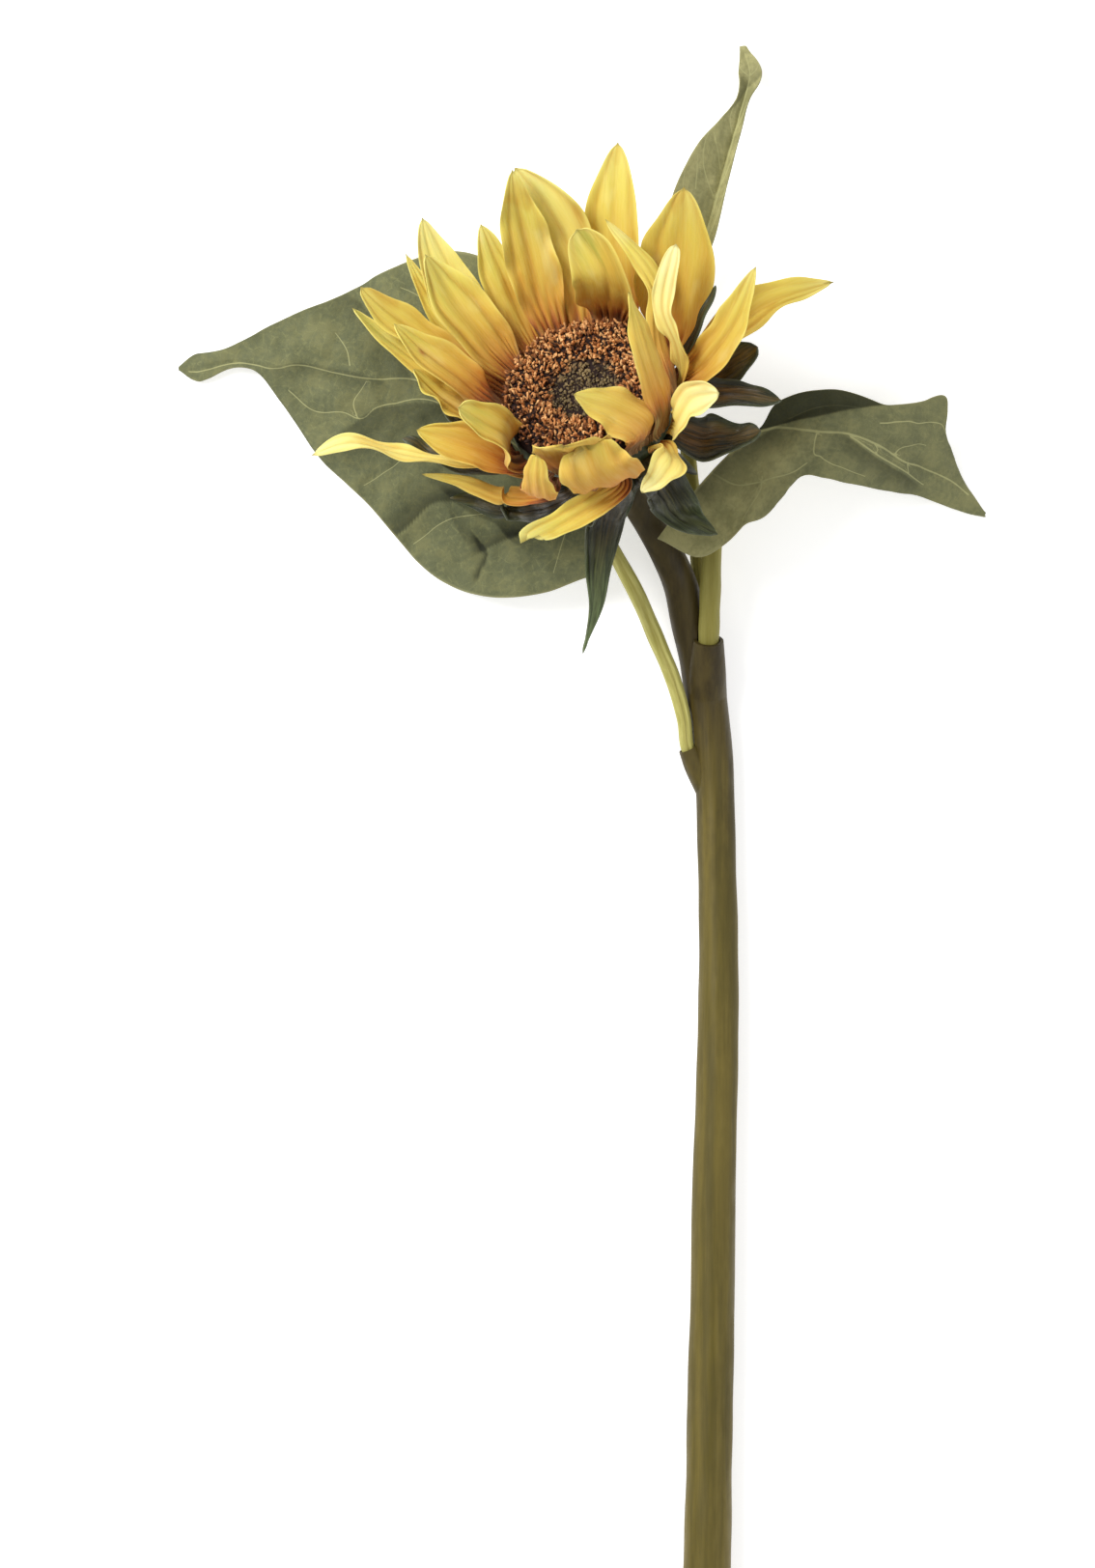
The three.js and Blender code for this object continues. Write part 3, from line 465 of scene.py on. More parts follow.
def make_piece(name, points, faces, uvs, fields, crease=50):
    """A mesh object at the origin from points in millimetres, lists of equal-sided faces with their UV
    corners, and named values for each point. Edges sharper than `crease` degrees stay sharp."""
    mesh = bpy.data.meshes.new(name)
    corners = np.concatenate([f.ravel() for f in faces])
    sides = np.concatenate([np.full(len(f), f.shape[1]) for f in faces])
    starts = np.cumsum(sides) - sides
    mesh.vertices.add(len(points))
    mesh.vertices.foreach_set("co", ((points + TO_FRAME) * MM).astype(np.float32).ravel())
    mesh.loops.add(len(corners))
    mesh.loops.foreach_set("vertex_index", corners.astype(np.int32))
    mesh.polygons.add(len(starts))
    mesh.polygons.foreach_set("loop_start", starts.astype(np.int32))
    mesh.update(calc_edges=True)
    layer = mesh.uv_layers.new(name="UVMap")
    layer.data.foreach_set("uv", np.concatenate([u.reshape(-1, 2) for u in uvs]).astype(np.float32).ravel())
    for field, values in fields.items():
        attribute = mesh.attributes.new(field, "FLOAT", "POINT")
        attribute.data.foreach_set("value", np.broadcast_to(values, len(points)).astype(np.float32))
    mesh.polygons.foreach_set("use_smooth", np.ones(len(starts), bool))
    mesh.set_sharp_from_angle(angle=math.radians(crease))
    mesh.validate()
    piece = bpy.data.objects.new(name, mesh)
    bpy.context.scene.collection.objects.link(piece)
    return piece


def sheet(name, middle, thickness, span, fields):
    """A closed thin sheet. Both sides are the middle surface moved out by half the thickness, which
    tapers at the rim, and a strip joins them round it. `span` holds the UV of each point of the grid."""
    rows, columns = middle.shape[:2]
    half = 0.5 * thickness * sheet_taper(rows, columns)[..., None]
    normal = grid_normals(middle)
    points = np.concatenate([middle + half * normal, middle - half * normal]).reshape(-1, 3)
    quads, _ = grid_quads(rows, columns)
    count = rows * columns
    number = np.arange(count).reshape(rows, columns)
    rim = np.concatenate([number[0, :-1], number[:-1, -1], number[-1, :0:-1], number[:0:-1, 0]])
    beyond = np.roll(rim, -1)
    strip = np.stack([rim, beyond, beyond + count, rim + count], -1)
    faces = [quads[:, ::-1], quads + count, strip]
    span = np.concatenate([span.reshape(-1, 2)] * 2)
    both = {field: np.tile(np.broadcast_to(values, (rows, columns)).ravel(), 2)
            for field, values in fields.items()}
    both["back"] = np.repeat([0.0, 1.0], count)
    return make_piece(name, points, faces, [span[f] for f in faces], both)


def sheet_taper(rows, columns):
    """1 over a sheet and less at its rim, so that the edge is thin and a little rounded."""
    i = np.minimum(np.arange(rows), np.arange(rows)[::-1])[:, None]
    j = np.minimum(np.arange(columns), np.arange(columns)[::-1])[None, :]
    return np.where(np.minimum(i, j) == 0, RIM_THINNING, 1.0)


def rod(name, rings, fields, crease=50):
    """A closed bar from a grid of rings. Each end is covered by rings that shrink to a small last face.
    Fields are given on the grid of rings; `cut` is 1 on the two ends and 0 on the side."""
    shrink = np.array([0.03, 0.45, 0.8, 0.97])[:, None, None]
    first, last = rings[:1], rings[-1:]
    near = first.mean(1, keepdims=True) + shrink * (first - first.mean(1, keepdims=True))
    far = last.mean(1, keepdims=True) + shrink[::-1] * (last - last.mean(1, keepdims=True))
    grid = np.concatenate([near, rings, far])
    rows, sides = grid.shape[:2]
    cap = len(shrink)
    quads, corner = grid_quads(rows, sides, wrap=True)
    ends = np.stack([np.arange(sides)[::-1], (rows - 1) * sides + np.arange(sides)])
    beyond = ((cap, cap), (0, 0))
    full = {field: np.pad(np.broadcast_to(values, rings.shape[:2]), beyond, mode="edge").ravel()
            for field, values in fields.items()}
    full["cut"] = np.pad(np.zeros(rings.shape[:2]), beyond, constant_values=1).ravel()
    spacing = np.linalg.norm(np.diff(grid.mean(1), axis=0), axis=1)
    length = np.concatenate([[0], np.cumsum(spacing)]) / BAR_STEP
    girth = 2 * np.pi * np.linalg.norm(grid[rows // 2, 0] - grid[rows // 2].mean(0)) / BAR_STEP
    uv = np.stack([corner[..., 0] / sides * girth, length[corner[..., 1]]], -1)
    return make_piece(name, grid.reshape(-1, 3), [quads, ends], [uv, np.zeros((2, sides, 2))], full, crease)


def lathe(profile, sides):
    """Rings of a profile of (radius, height) turned round the head's axis, from its first point on."""
    profile = np.asarray(profile, float)
    turn = np.arange(sides) / sides * 2 * np.pi
    spoke = np.sin(turn)[:, None] * ACROSS + np.cos(turn)[:, None] * np.cross(ACROSS, AXIS)
    return HEAD_CENTRE + profile[:, :1, None] * spoke + profile[:, 1:, None] * AXIS


# From the point of the floor under the disc to the CAD frame: the same disc, turned with as many sides as
# the CAD's, is laid over the CAD node's box.
CAD_DISC_SIDES = 32
disc_points = lathe(DISC_PROFILE, CAD_DISC_SIDES).reshape(-1, 3)
TO_FRAME = (np.add(*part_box("seed_disc")) / MM - disc_points.min(0) - disc_points.max(0)) / 2


# ---- Petals and sepals


def collar_radius(height):
    """The receptacle's radius at a height along the head's axis, read off its profile."""
    radii, heights = np.array(RECEPTACLE_PROFILE).T
    return np.interp(height, heights, radii)


def outline(along, wide, point):
    """A petal's width along its length as a share of its greatest: a sine that starts part of the way up,
    where the petal is gathered, with its peak moved by `wide` and its tip made blunter by a low `point`."""
    share = np.maximum(np.sin(np.pi * (0.11 + 0.89 * along) ** wide) ** point, 0.07)
    return share * (1 - 0.8 * smoothstep(0.97, 1, along))


def blade_spine(blade, cad_thickness):
    """The line up the middle of a petal or a sepal: it leaves the collar at its lift and bends over to its
    tip as a parabola, or runs smoothly through the points it is given. Also the direction round the head."""
    at, lift = math.radians(blade["at"]), math.radians(blade["lift"])
    outward = ACROSS * math.cos(at) + UPWARD * math.sin(at)
    height = ROWS[blade["row"]]
    seat = collar_radius(height) + GAP + 0.5 * cad_thickness * abs(math.sin(lift)) + SEAT_EASE
    base = HEAD_CENTRE + AXIS * height + outward * seat
    start = outward * math.cos(lift) + AXIS * math.sin(lift)
    tip = np.array(blade["tip"], float)
    if "via" in blade:
        line = smooth_line([base, base + 4 * start, *blade["via"], tip])
    else:
        t = np.linspace(0, 1, 150)[:, None]
        bend = base + start * 0.5 * np.linalg.norm(tip - base)
        line = (1 - t) ** 2 * base + 2 * t * (1 - t) * bend + t**2 * tip
    return line, np.cross(AXIS, outward)


def blade_surface(blade, cad_thickness, along, across, width, relief):
    """The middle surface of a petal or a sepal. At each step along the spine a level line is held across it,
    turned by the roll and curved up into a shallow trough by the cup, and `relief` is added to its face.
    `width` is the half width on the grid. Returns the surface and the spine's length."""
    line, round_head = blade_spine(blade, cad_thickness)
    place, ahead = follow(line, along)
    side = unit(round_head - ahead * (ahead @ round_head)[:, None])
    settle = np.minimum(4 * along, 1)
    turn = (math.radians(blade["roll"]) * settle)[:, None]
    side = side * np.cos(turn) + np.cross(ahead, side) * np.sin(turn)
    face = np.cross(ahead, side)
    bow = blade["bow"] * np.sin(np.pi * along)
    reach = across[None, :] * width + bow[:, None]
    rise = blade["cup"] * width * across[None, :] ** 2 * settle[:, None] + relief
    surface = place[:, None] + side[:, None] * reach[..., None] + face[:, None] * rise[..., None]
    return surface, np.linalg.norm(np.diff(place, axis=0), axis=1).sum()


def grooves(rng, across, along, count, narrow):
    """Soft lengthwise grooves from 0 to -1: bell-shaped dips at uneven places across the blade, which wander
    a little on their way."""
    places = np.linspace(-0.7, 0.7, count) + rng.uniform(-0.14, 0.14, count)
    dips = np.zeros((len(along), len(across)))
    for place in places:
        middle = place + 0.05 * ripple(rng, along, 1.2)[:, None]
        depth, breadth = rng.uniform(0.5, 1), narrow * rng.uniform(0.7, 1.4)
        dips -= depth * np.exp(-(((across[None, :] - middle) / breadth) ** 2))
    return dips


def two_sided(rng, along, across, waves):
    """A gentle irregular wave along a blade that takes its own course on each side of its middle."""
    left = ripple(rng, along, waves)[:, None]
    right = ripple(rng, along, waves)[:, None]
    return np.where(across > 0, left, right)


def laid_flat(width, across, along, length, number):
    """The UV of a blade's points: the blade laid flat, each beside the one before."""
    sideways = width * across / CLOTH_STEP + number
    return np.stack([sideways, np.broadcast_to(along * length / CLOTH_STEP, width.shape)], -1)


def make_petal(number, blade, material):
    """One cloth petal: pleats and a gathered base pressed into it, a slightly uneven outline, a wavy rim and,
    where it has one, a ragged end. `fold` and `gather` say how deep in a pleat each point lies."""
    rng = np.random.default_rng(PETAL_SEED + number)
    blade = {**PLAIN_PETAL, **blade}
    along, across = np.linspace(0, 1, PETAL_STEPS[0]), np.linspace(-1, 1, PETAL_STEPS[1])
    t, v = along[:, None], across[None, :]
    half = 0.5 * blade["width"] * outline(t, blade["wide"], blade["point"])
    width = half * (1 + 0.05 * two_sided(rng, along, v, 2.5))
    pleats = grooves(rng, across, along, count=3, narrow=0.17) * smoothstep(0.1, 0.35, t)
    fine = grooves(rng, across, along, count=9, narrow=0.05) * (0.4 + 0.6 * smoothstep(0.5, 0, t))
    gather = 0.5 - 0.5 * np.cos(np.pi * (5 * v + 0.7 * ripple(rng, across, 1)[None, :] + 3 * rng.uniform()))
    gather = gather * smoothstep(0.38, 0.08, t)
    rim = 0.9 * np.abs(v) ** 3 * ripple(rng, along, 3)[:, None] * np.sin(np.pi * t) ** 0.7 * np.sign(v)
    swell = 0.5 * ripple(rng, along, 1.2)[:, None] * smoothstep(0.1, 0.4, t)
    relief = half * (0.11 * pleats + 0.02 * fine - 0.16 * gather) + rim + swell
    surface, length = blade_surface(blade, PETAL_CAD_THICKNESS, along, across, width, relief)
    at_end = smoothstep(0.7, 1, t)
    ragged = blade["ragged"] * ripple(rng, 0.5 + 0.5 * across, 2)[None, :] * at_end
    ragged = ragged - blade["skew"] * v * at_end
    middle = PETAL_STEPS[1] // 2
    surface += ragged[..., None] * unit(surface[-1, middle] - surface[-8, middle])
    looks = dict(along=t, across=v, fold=np.clip(-0.8 * pleats - 0.25 * fine, 0, 1), gather=gather,
                 blot=soft_blot(blade["blot"], v, t))
    looks.update((look, blade[look]) for look in ("tint", "olive", "pale", "painted_dimming", "rust"))
    name = f"petal_{number:02d}"
    span = laid_flat(width, v, t, length, number)
    finish_piece(sheet(f"cloth_{name}", surface, PETAL_CLOTH, span, looks), name, material)


def soft_blot(place, across, along):
    """A small dark blot at a place (across, along): a bell curve both ways, wider along the rim's way. A
    petal without a place has none."""
    if place is None:
        return 0
    return 0.75 * np.exp(-(((across - place[0]) / 0.16) ** 2) - ((along - place[1]) / 0.035) ** 2)


def make_sepal(number, blade, material):
    """One moulded sepal: ribs along it, a wavy rim, and a tip that is drawn out thin."""
    rng = np.random.default_rng(SEPAL_SEED + number)
    blade = {**PLAIN_SEPAL, **blade}
    along, across = np.linspace(0, 1, SEPAL_STEPS[0]), np.linspace(-1, 1, SEPAL_STEPS[1])
    t, v = along[:, None], across[None, :]
    half = 0.5 * blade["width"] * outline(t, blade["wide"], blade["point"])
    width = half * (1 + 0.05 * two_sided(rng, along, v, 2))
    ribs = grooves(rng, across, along, count=7, narrow=0.07)
    ribs = ribs * np.sin(np.pi * np.clip(t * 1.15, 0, 1)) ** 0.5
    rim = 0.09 * np.abs(v) ** 2 * np.sin(2 * np.pi * (1.6 * t + rng.uniform())) * np.sign(v)
    swell = 0.5 * ripple(rng, along, 1.4)[:, None] * smoothstep(0.1, 0.5, t)
    crumple = hills(rng, width * v, np.broadcast_to(25 * t, width.shape), size=7)
    crumple = crumple * smoothstep(0.05, 0.3, t)
    relief = half * (0.07 * ribs + rim) + swell + blade["crumple"] * crumple
    surface, length = blade_surface(blade, SEPAL_CAD_THICKNESS, along, across, width, relief)
    looks = dict(along=t, across=v, rib=-ribs, flush=blade["flush"], green=blade["green"])
    name = f"sepal_{number:02d}"
    span = laid_flat(width, v, t, length, number)
    finish_piece(sheet(f"moulded_{name}", surface, SEPAL_PLASTIC, span, looks), name, material)


# ---- Leaves


def leaf_surface(leaf, along, across, relief):
    """A leaf's middle surface: a midrib, two half blades that leave it at their own angles and curl with the
    distance from it, and lobes swept back beside the stalk. `relief` is added to its face, and nothing
    goes below the floor, which bends it smoothly up. Returns the surface and each point's flat place."""
    place, ahead = follow(smooth_line(leaf["midrib"]), along)
    left = unit(np.cross([0, 0, 1], ahead))
    face = np.cross(ahead, left)
    t, v = along[:, None], across[None, :]
    share = np.abs(v)
    is_left = v > 0

    def either_side(left, right):
        return np.where(is_left, stations(leaf[left], t), stations(leaf[right], t))

    half = either_side("left", "right") * np.sqrt(1 - 0.98 * smoothstep(1 - 2 * leaf["blunt"], 1 + 1e-6, t))
    rise = np.radians(either_side("leftRise", "rightRise") + leaf["curl"] * share)
    wave = leaf["wave"] * share**2 * np.sin(leaf["waves"] * np.pi * t + np.where(is_left, 0, 1.5))
    lobe = np.where(is_left, leaf["leftLobe"], leaf["rightLobe"]) * share ** leaf["sweep"] * (1 - t) ** 3
    surface = (place[:, None] + left[:, None] * (v * half * np.cos(rise))[..., None]
               + face[:, None] * (share * half * np.sin(rise) + wave + relief)[..., None]
               - ahead[:, None] * lobe[..., None])
    lowest = 0.5 * LEAF_CAD_THICKNESS
    above = surface[..., 2] - lowest
    surface[..., 2] = lowest + 0.5 * (above + np.hypot(above, 1.2))
    length = np.linalg.norm(np.diff(place, axis=0), axis=1).sum()
    return surface, np.stack([v * half, t * length - lobe], -1)


def read_grid(grid, rows, columns):
    """A grid's values at fractional row and column numbers, from the four points around each."""
    i = np.minimum(rows.astype(int), grid.shape[0] - 2)
    j = np.minimum(columns.astype(int), grid.shape[1] - 2)
    f, g = (rows - i)[:, None], (columns - j)[:, None]
    return ((grid[i, j] * (1 - g) + grid[i, j + 1] * g) * (1 - f)
            + (grid[i + 1, j] * (1 - g) + grid[i + 1, j + 1] * g) * f)


def beside_line(plan, across, along, places, reach):
    """Which points of a leaf lie within reach of a smooth line drawn on it through (across, along) places,
    and for those their distance from it seen from above, positive on its left, and how far along it
    they are."""
    line = smooth_line(np.pad(np.array(places, float), ((0, 0), (0, 1))), 24)
    column = np.interp(line[:, 0], across, np.arange(len(across)))
    row = np.interp(line[:, 1], along, np.arange(len(along)))
    path = np.pad(read_grid(plan, row, column), ((0, 0), (0, 1)))
    path, ahead = follow(path, np.linspace(0, 1, LINE_STEPS))
    path, ahead = path[:, :2], ahead[:, :2]
    near = ((plan > path.min(0) - reach) & (plan < path.max(0) + reach)).all(-1)
    away = plan[near][:, None] - path
    nearest = (away**2).sum(-1).argmin(1)
    away, ahead = away[np.arange(len(away)), nearest], ahead[nearest]
    side = ahead[:, 0] * away[:, 1] - ahead[:, 1] * away[:, 0]
    return near, side, np.hypot(away[:, 0], away[:, 1]), nearest / LINE_STEPS


def vein_map(plan, across, along, veins):
    """How far each point of a leaf is from the nearest vein: signed by its side and as a share of the
    vein's half width, and plainly in millimetres. Each vein is its half width and then its places, and
    it is thinner towards its end."""
    share = np.full(plan.shape[:2], 1e3)
    distance = np.full(plan.shape[:2], 1e3)
    for width, *places in veins:
        near, side, length, progress = beside_line(plan, across, along, places, 4)
        closer = length < distance[near]
        share[near] = np.where(closer, side / (width * (1 - 0.5 * progress)), share[near])
        distance[near] = np.where(closer, length, distance[near])
    return share, distance


def painted_shade_map(plan, across, along, painted_shades):
    """How dark each point of a leaf is painted, as painted shade beside the edges of its folds and painted
    shadow
    under what lies over it: each is (strength, width, places), dark on the left of its line with a crisp edge
    there, and fading over the width."""
    shade = np.zeros(plan.shape[:2])
    for strength, width, *places in painted_shades:
        near, side, length, _ = beside_line(plan, across, along, places, 2.2 * width)
        dark = smoothstep(0, 0.16 * length + 0.5, side) * np.exp(-((length / width) ** 2))
        shade[near] += strength * dark
    return shade


def side_veins(leaf):
    """The veins that leave the midrib of a leaf that has none listed: pairs at even steps, each a curve
    that bends towards the tip on its way to the rim, with the lowest pair the strongest."""
    veins = []
    for start in np.linspace(0.04, 0.86, leaf["pairs"]):
        for side in (-1, 1):
            reach = 0.34 * (1 - start)
            veins.append((0.34 * (1 - 0.35 * start), (0, start), (0.3 * side, start + 0.25 * reach),
                          (0.62 * side, start + 0.55 * reach), (0.93 * side, start + reach)))
    return veins


def make_leaf(name, leaf, material):
    """One cloth leaf: veins pressed into its face, low puckers between them and folds where it has them.
    The veins' colour is drawn from how far a point is from them, so that it stays fine and even."""
    rng = np.random.default_rng(leaf["seed"])
    rows, columns = leaf["grid"]
    along, across = np.linspace(0, 1, rows), np.linspace(-1, 1, columns)
    plain, flat = leaf_surface(leaf, along, across, 0)
    plan = plain[..., :2]
    from_vein, distance = vein_map(plan, across, along, [*side_veins(leaf), *leaf["veins"]])
    puckers = leaf["puckers"] * hills(rng, flat[..., 0], flat[..., 1], size=16)
    puckers += 0.15 * hills(rng, flat[..., 0], flat[..., 1], size=5)
    calm = smoothstep(0, 0.06, along[:, None])
    folds = sum(fold(flat, *f) for f in leaf["folds"])
    # Painted shade beside the leaf's folds and painted shadow under the pieces that lie over it.
    shade = painted_shade_map(plan, across, along, leaf["painted_shades"])
    furrow = 0.3 * np.exp(-((distance / 1.3) ** 2))
    surface, flat = leaf_surface(leaf, along, across, calm * (puckers - furrow) + folds)
    # Painted light: the start of the right side, the right leaf's lobe, is made paler where the head's shadow
    # falls on it.
    lobe_painted_light = leaf["lobe_painted_light"] * smoothstep(0.34, 0.1, along)[:, None] * smoothstep(0.1, -0.3, across)[None, :]
    looks = dict(from_vein=from_vein, near_vein=smoothstep(1.5, 1, distance), across=across[None, :],
                 paleness_and_painted_light=leaf["paleness_and_painted_light"] + lobe_painted_light, shade=np.clip(shade, 0, 1))
    span = flat / CLOTH_STEP
    finish_piece(sheet(f"cloth_{name}", surface, LEAF_CLOTH, span, looks), name, material)


def fold(flat, x, y, heading, length, width, height):
    """A ridge or, with a negative height, a furrow in a leaf: a bell curve across a line through (x, y) on
    the flat leaf, which dies away over its length."""
    turn = math.radians(heading)
    reach = (flat[..., 0] - x) * math.cos(turn) + (flat[..., 1] - y) * math.sin(turn)
    beside = (flat[..., 1] - y) * math.cos(turn) - (flat[..., 0] - x) * math.sin(turn)
    return height * np.exp(-((reach / length) ** 2) - (beside / width) ** 2)


# ---- Stem and stalks


def bar_rings(line, rings, sides, scale):
    """Rings round a line of (x, y, z, radius). A ring's radius is the line's times `scale(angle, along)`,
    with the angle measured from straight up."""
    along = np.linspace(0, 1, rings)
    place, ahead = follow(smooth_line(line), along)
    side = unit(np.array([1.0, 0, 0]) - ahead * ahead[:, :1])
    under = np.cross(ahead, side)
    angle = np.arange(sides) / sides * 2 * np.pi
    radius = place[:, 3:] * scale(angle[None, :], along[:, None])
    spoke = side[:, None] * np.sin(angle)[None, :, None] - under[:, None] * np.cos(angle)[None, :, None]
    return place[:, None, :3] + radius[..., None] * spoke, along, angle


def round_bar(name, line, rings, sides, grow=0.0):
    """A plain round bar along a line of (x, y, z, radius), grown by a margin, for joining and cutting."""
    line = np.array(line, float)
    line[:, 3] += grow
    line[0, :3] -= grow * unit(line[1, :3] - line[0, :3])
    grid, _, _ = bar_rings(line, rings, sides, lambda angle, along: np.ones((len(along), angle.size)))
    return rod(name, grid, {})


def carve(piece, tool, operation):
    """Joins a tool to a piece or cuts it out, exactly, and removes the tool."""
    step = piece.modifiers.new("carve", "BOOLEAN")
    step.object, step.operation, step.solver = tool, operation, "EXACT"
    shaped = bpy.data.meshes.new_from_object(piece.evaluated_get(bpy.context.evaluated_depsgraph_get()))
    piece.modifiers.clear()
    piece.data, old = shaped, piece.data
    bpy.data.meshes.remove(old)
    bpy.data.objects.remove(tool)


def make_stem(material):
    """The moulded stem with its sheared cut end, faint ridges and small swellings, one socket joined on for
    each stalk, and the stalks' bores cut out."""
    rng = np.random.default_rng(STEM_SEED)
    foot = HEAD_CENTRE + AXIS * (RECEPTACLE_FOOT - GAP)
    neck = HEAD_CENTRE + AXIS * (RECEPTACLE_FOOT - NECK_BELOW)
    line = [*STEM_LINE, (*neck, NECK_RADIUS), (*foot, STEM_TOP_RADIUS)]

    def skin(angle, along):
        ridges = 0.012 * np.cos(5 * angle + 1.5 * ripple(rng, along[:, 0], 2)[:, None])
        swellings = 0.02 * ripple(rng, along[:, 0], 6)[:, None] * np.cos(angle - 2 * along)
        return 1 + ridges + swellings + 0.012 * ripple(rng, along[:, 0], 14)[:, None]

    rings, _, _ = bar_rings(line, rings=430, sides=48, scale=skin)
    middle = rings.mean(1, keepdims=True)
    from_cut = np.maximum(0, 1 - (middle[..., 1] - middle[0, 0, 1]) / CUT_RUN)
    rings[..., 1] += CUT_SLANT * from_cut * (rings[..., 2] - middle[..., 2])
    stem = rod("moulded_stem", rings, {}, crease=40)
    for name, stalk in STALKS.items():
        carve(stem, round_bar(f"{name}_socket", stalk["socket"], rings=30, sides=32), "UNION")
    for name, stalk in STALKS.items():
        bore = round_bar(f"{name}_bore", stalk["line"], rings=60, sides=24, grow=GAP + BORE_EASE)
        carve(stem, bore, "DIFFERENCE")
    points = np.empty(len(stem.data.vertices) * 3, np.float32)
    stem.data.vertices.foreach_get("co", points)
    points = points.reshape(-1, 3) / MM - TO_FRAME
    from_face = points[:, 1] - rings[0].mean(0)[1] - CUT_SLANT * (points[:, 2] - rings[0].mean(0)[2])
    mask = stem.data.attributes.get("cut") or stem.data.attributes.new("cut", "FLOAT", "POINT")
    mask.data.foreach_set("value", (np.abs(from_face) < 0.05).astype(np.float32))
    stem.data.set_sharp_from_angle(angle=math.radians(40))
    finish_piece(stem, "stem", material)


def make_stalk(name, stalk, material):
    """One leaf stalk: a bar with a furrow along its upper side and faint ridges."""
    rng = np.random.default_rng(stalk["seed"])

    def skin(angle, along):
        from_top = np.minimum(angle, 2 * np.pi - angle)
        furrow = 0.2 * np.exp(-((from_top - 0.15 * ripple(rng, along[:, 0], 1)[:, None]) / 0.42) ** 2)
        ridges = 0.02 * np.cos(9 * angle) + 0.02 * ripple(rng, along[:, 0], 5)[:, None]
        return 1 - furrow + ridges

    rings, along, angle = bar_rings(stalk["line"], rings=150, sides=36, scale=skin)
    from_top = np.minimum(angle, 2 * np.pi - angle)[None, :]
    looks = dict(along=along[:, None], furrow=np.exp(-((from_top / 0.4) ** 2)), deep=stalk["deep"])
    finish_piece(rod(f"moulded_{name}", rings, looks), name, material)


# ---- Receptacle and seed disc


def make_receptacle(material):
    """The green dome under the petals, with low ribs that run down it to the stem, and a swelling that
    meets the feet of the sepals."""
    corners = np.arange(len(RECEPTACLE_PROFILE))
    steps = np.linspace(0, corners[-1], 90)
    profile = np.stack([np.interp(steps, corners, column) for column in np.array(RECEPTACLE_PROFILE).T], -1)
    profile[:, 0] += SWELLING * np.exp(-(((profile[:, 1] - SWELLING_HEIGHT) / SWELLING_SPREAD) ** 2))
    rings = lathe(profile, RECEPTACLE_SIDES)
    hub = HEAD_CENTRE + profile[:, 1:, None] * AXIS
    angle = np.arange(RECEPTACLE_SIDES) / RECEPTACLE_SIDES * 2 * np.pi
    groove = np.abs(np.sin(7 * angle))[None, :]
    ribs = 1 - 0.025 * groove * smoothstep(-25, -20, profile[:, 1])[:, None]
    rings = hub + (rings - hub) * ribs[..., None]
    finish_piece(rod("moulded_receptacle", rings, dict(rib=groove)), "receptacle", material)


def make_seed_disc(material):
    """The seed disc: a low cushion, and over two thousand ragged florets set on it."""
    # The cushion carries the florets' painted shade of their feet: it shows only in the gaps between them.
    cushion = rod("cushion_seed_disc", lathe(DISC_PROFILE, sides=96), dict(tone=0.1, rise=0, ring=1))
    finish_piece(cushion, "seed_disc", material)
    finish_piece(make_florets(), "seed_disc", material)


def floret_places(rng):
    """The spiral of a real head: each floret is a golden angle further round than the last, at a distance
    that grows with the square root of its number, and leans its own way. Returns their distances from the
    middle, their turns, their seats on the cushion, and the directions up and to one side of each."""
    order = np.arange(FLORETS) + 0.5
    radius = (DISC_RADIUS - 0.5) * np.sqrt(order / FLORETS)
    turn = order * math.radians(GOLDEN_ANGLE) + rng.normal(0, 0.02, FLORETS)
    radii, heights = np.array(DISC_PROFILE[CUSHION_TOP:]).T
    height = np.interp(-radius, -radii, heights)
    slope = (np.interp(-(radius + 0.4), -radii, heights) - height) / 0.4
    spoke = np.cos(turn)[:, None] * ACROSS + np.sin(turn)[:, None] * UPWARD
    seat = HEAD_CENTRE + radius[:, None] * spoke + (height - FLORET_ROOT)[:, None] * AXIS
    up = unit(AXIS - spoke * slope[:, None] + rng.normal(0, 0.42, (FLORETS, 3)))
    side = unit(np.cross(up, rng.normal(size=(FLORETS, 3))))
    return radius, turn, seat, up, side


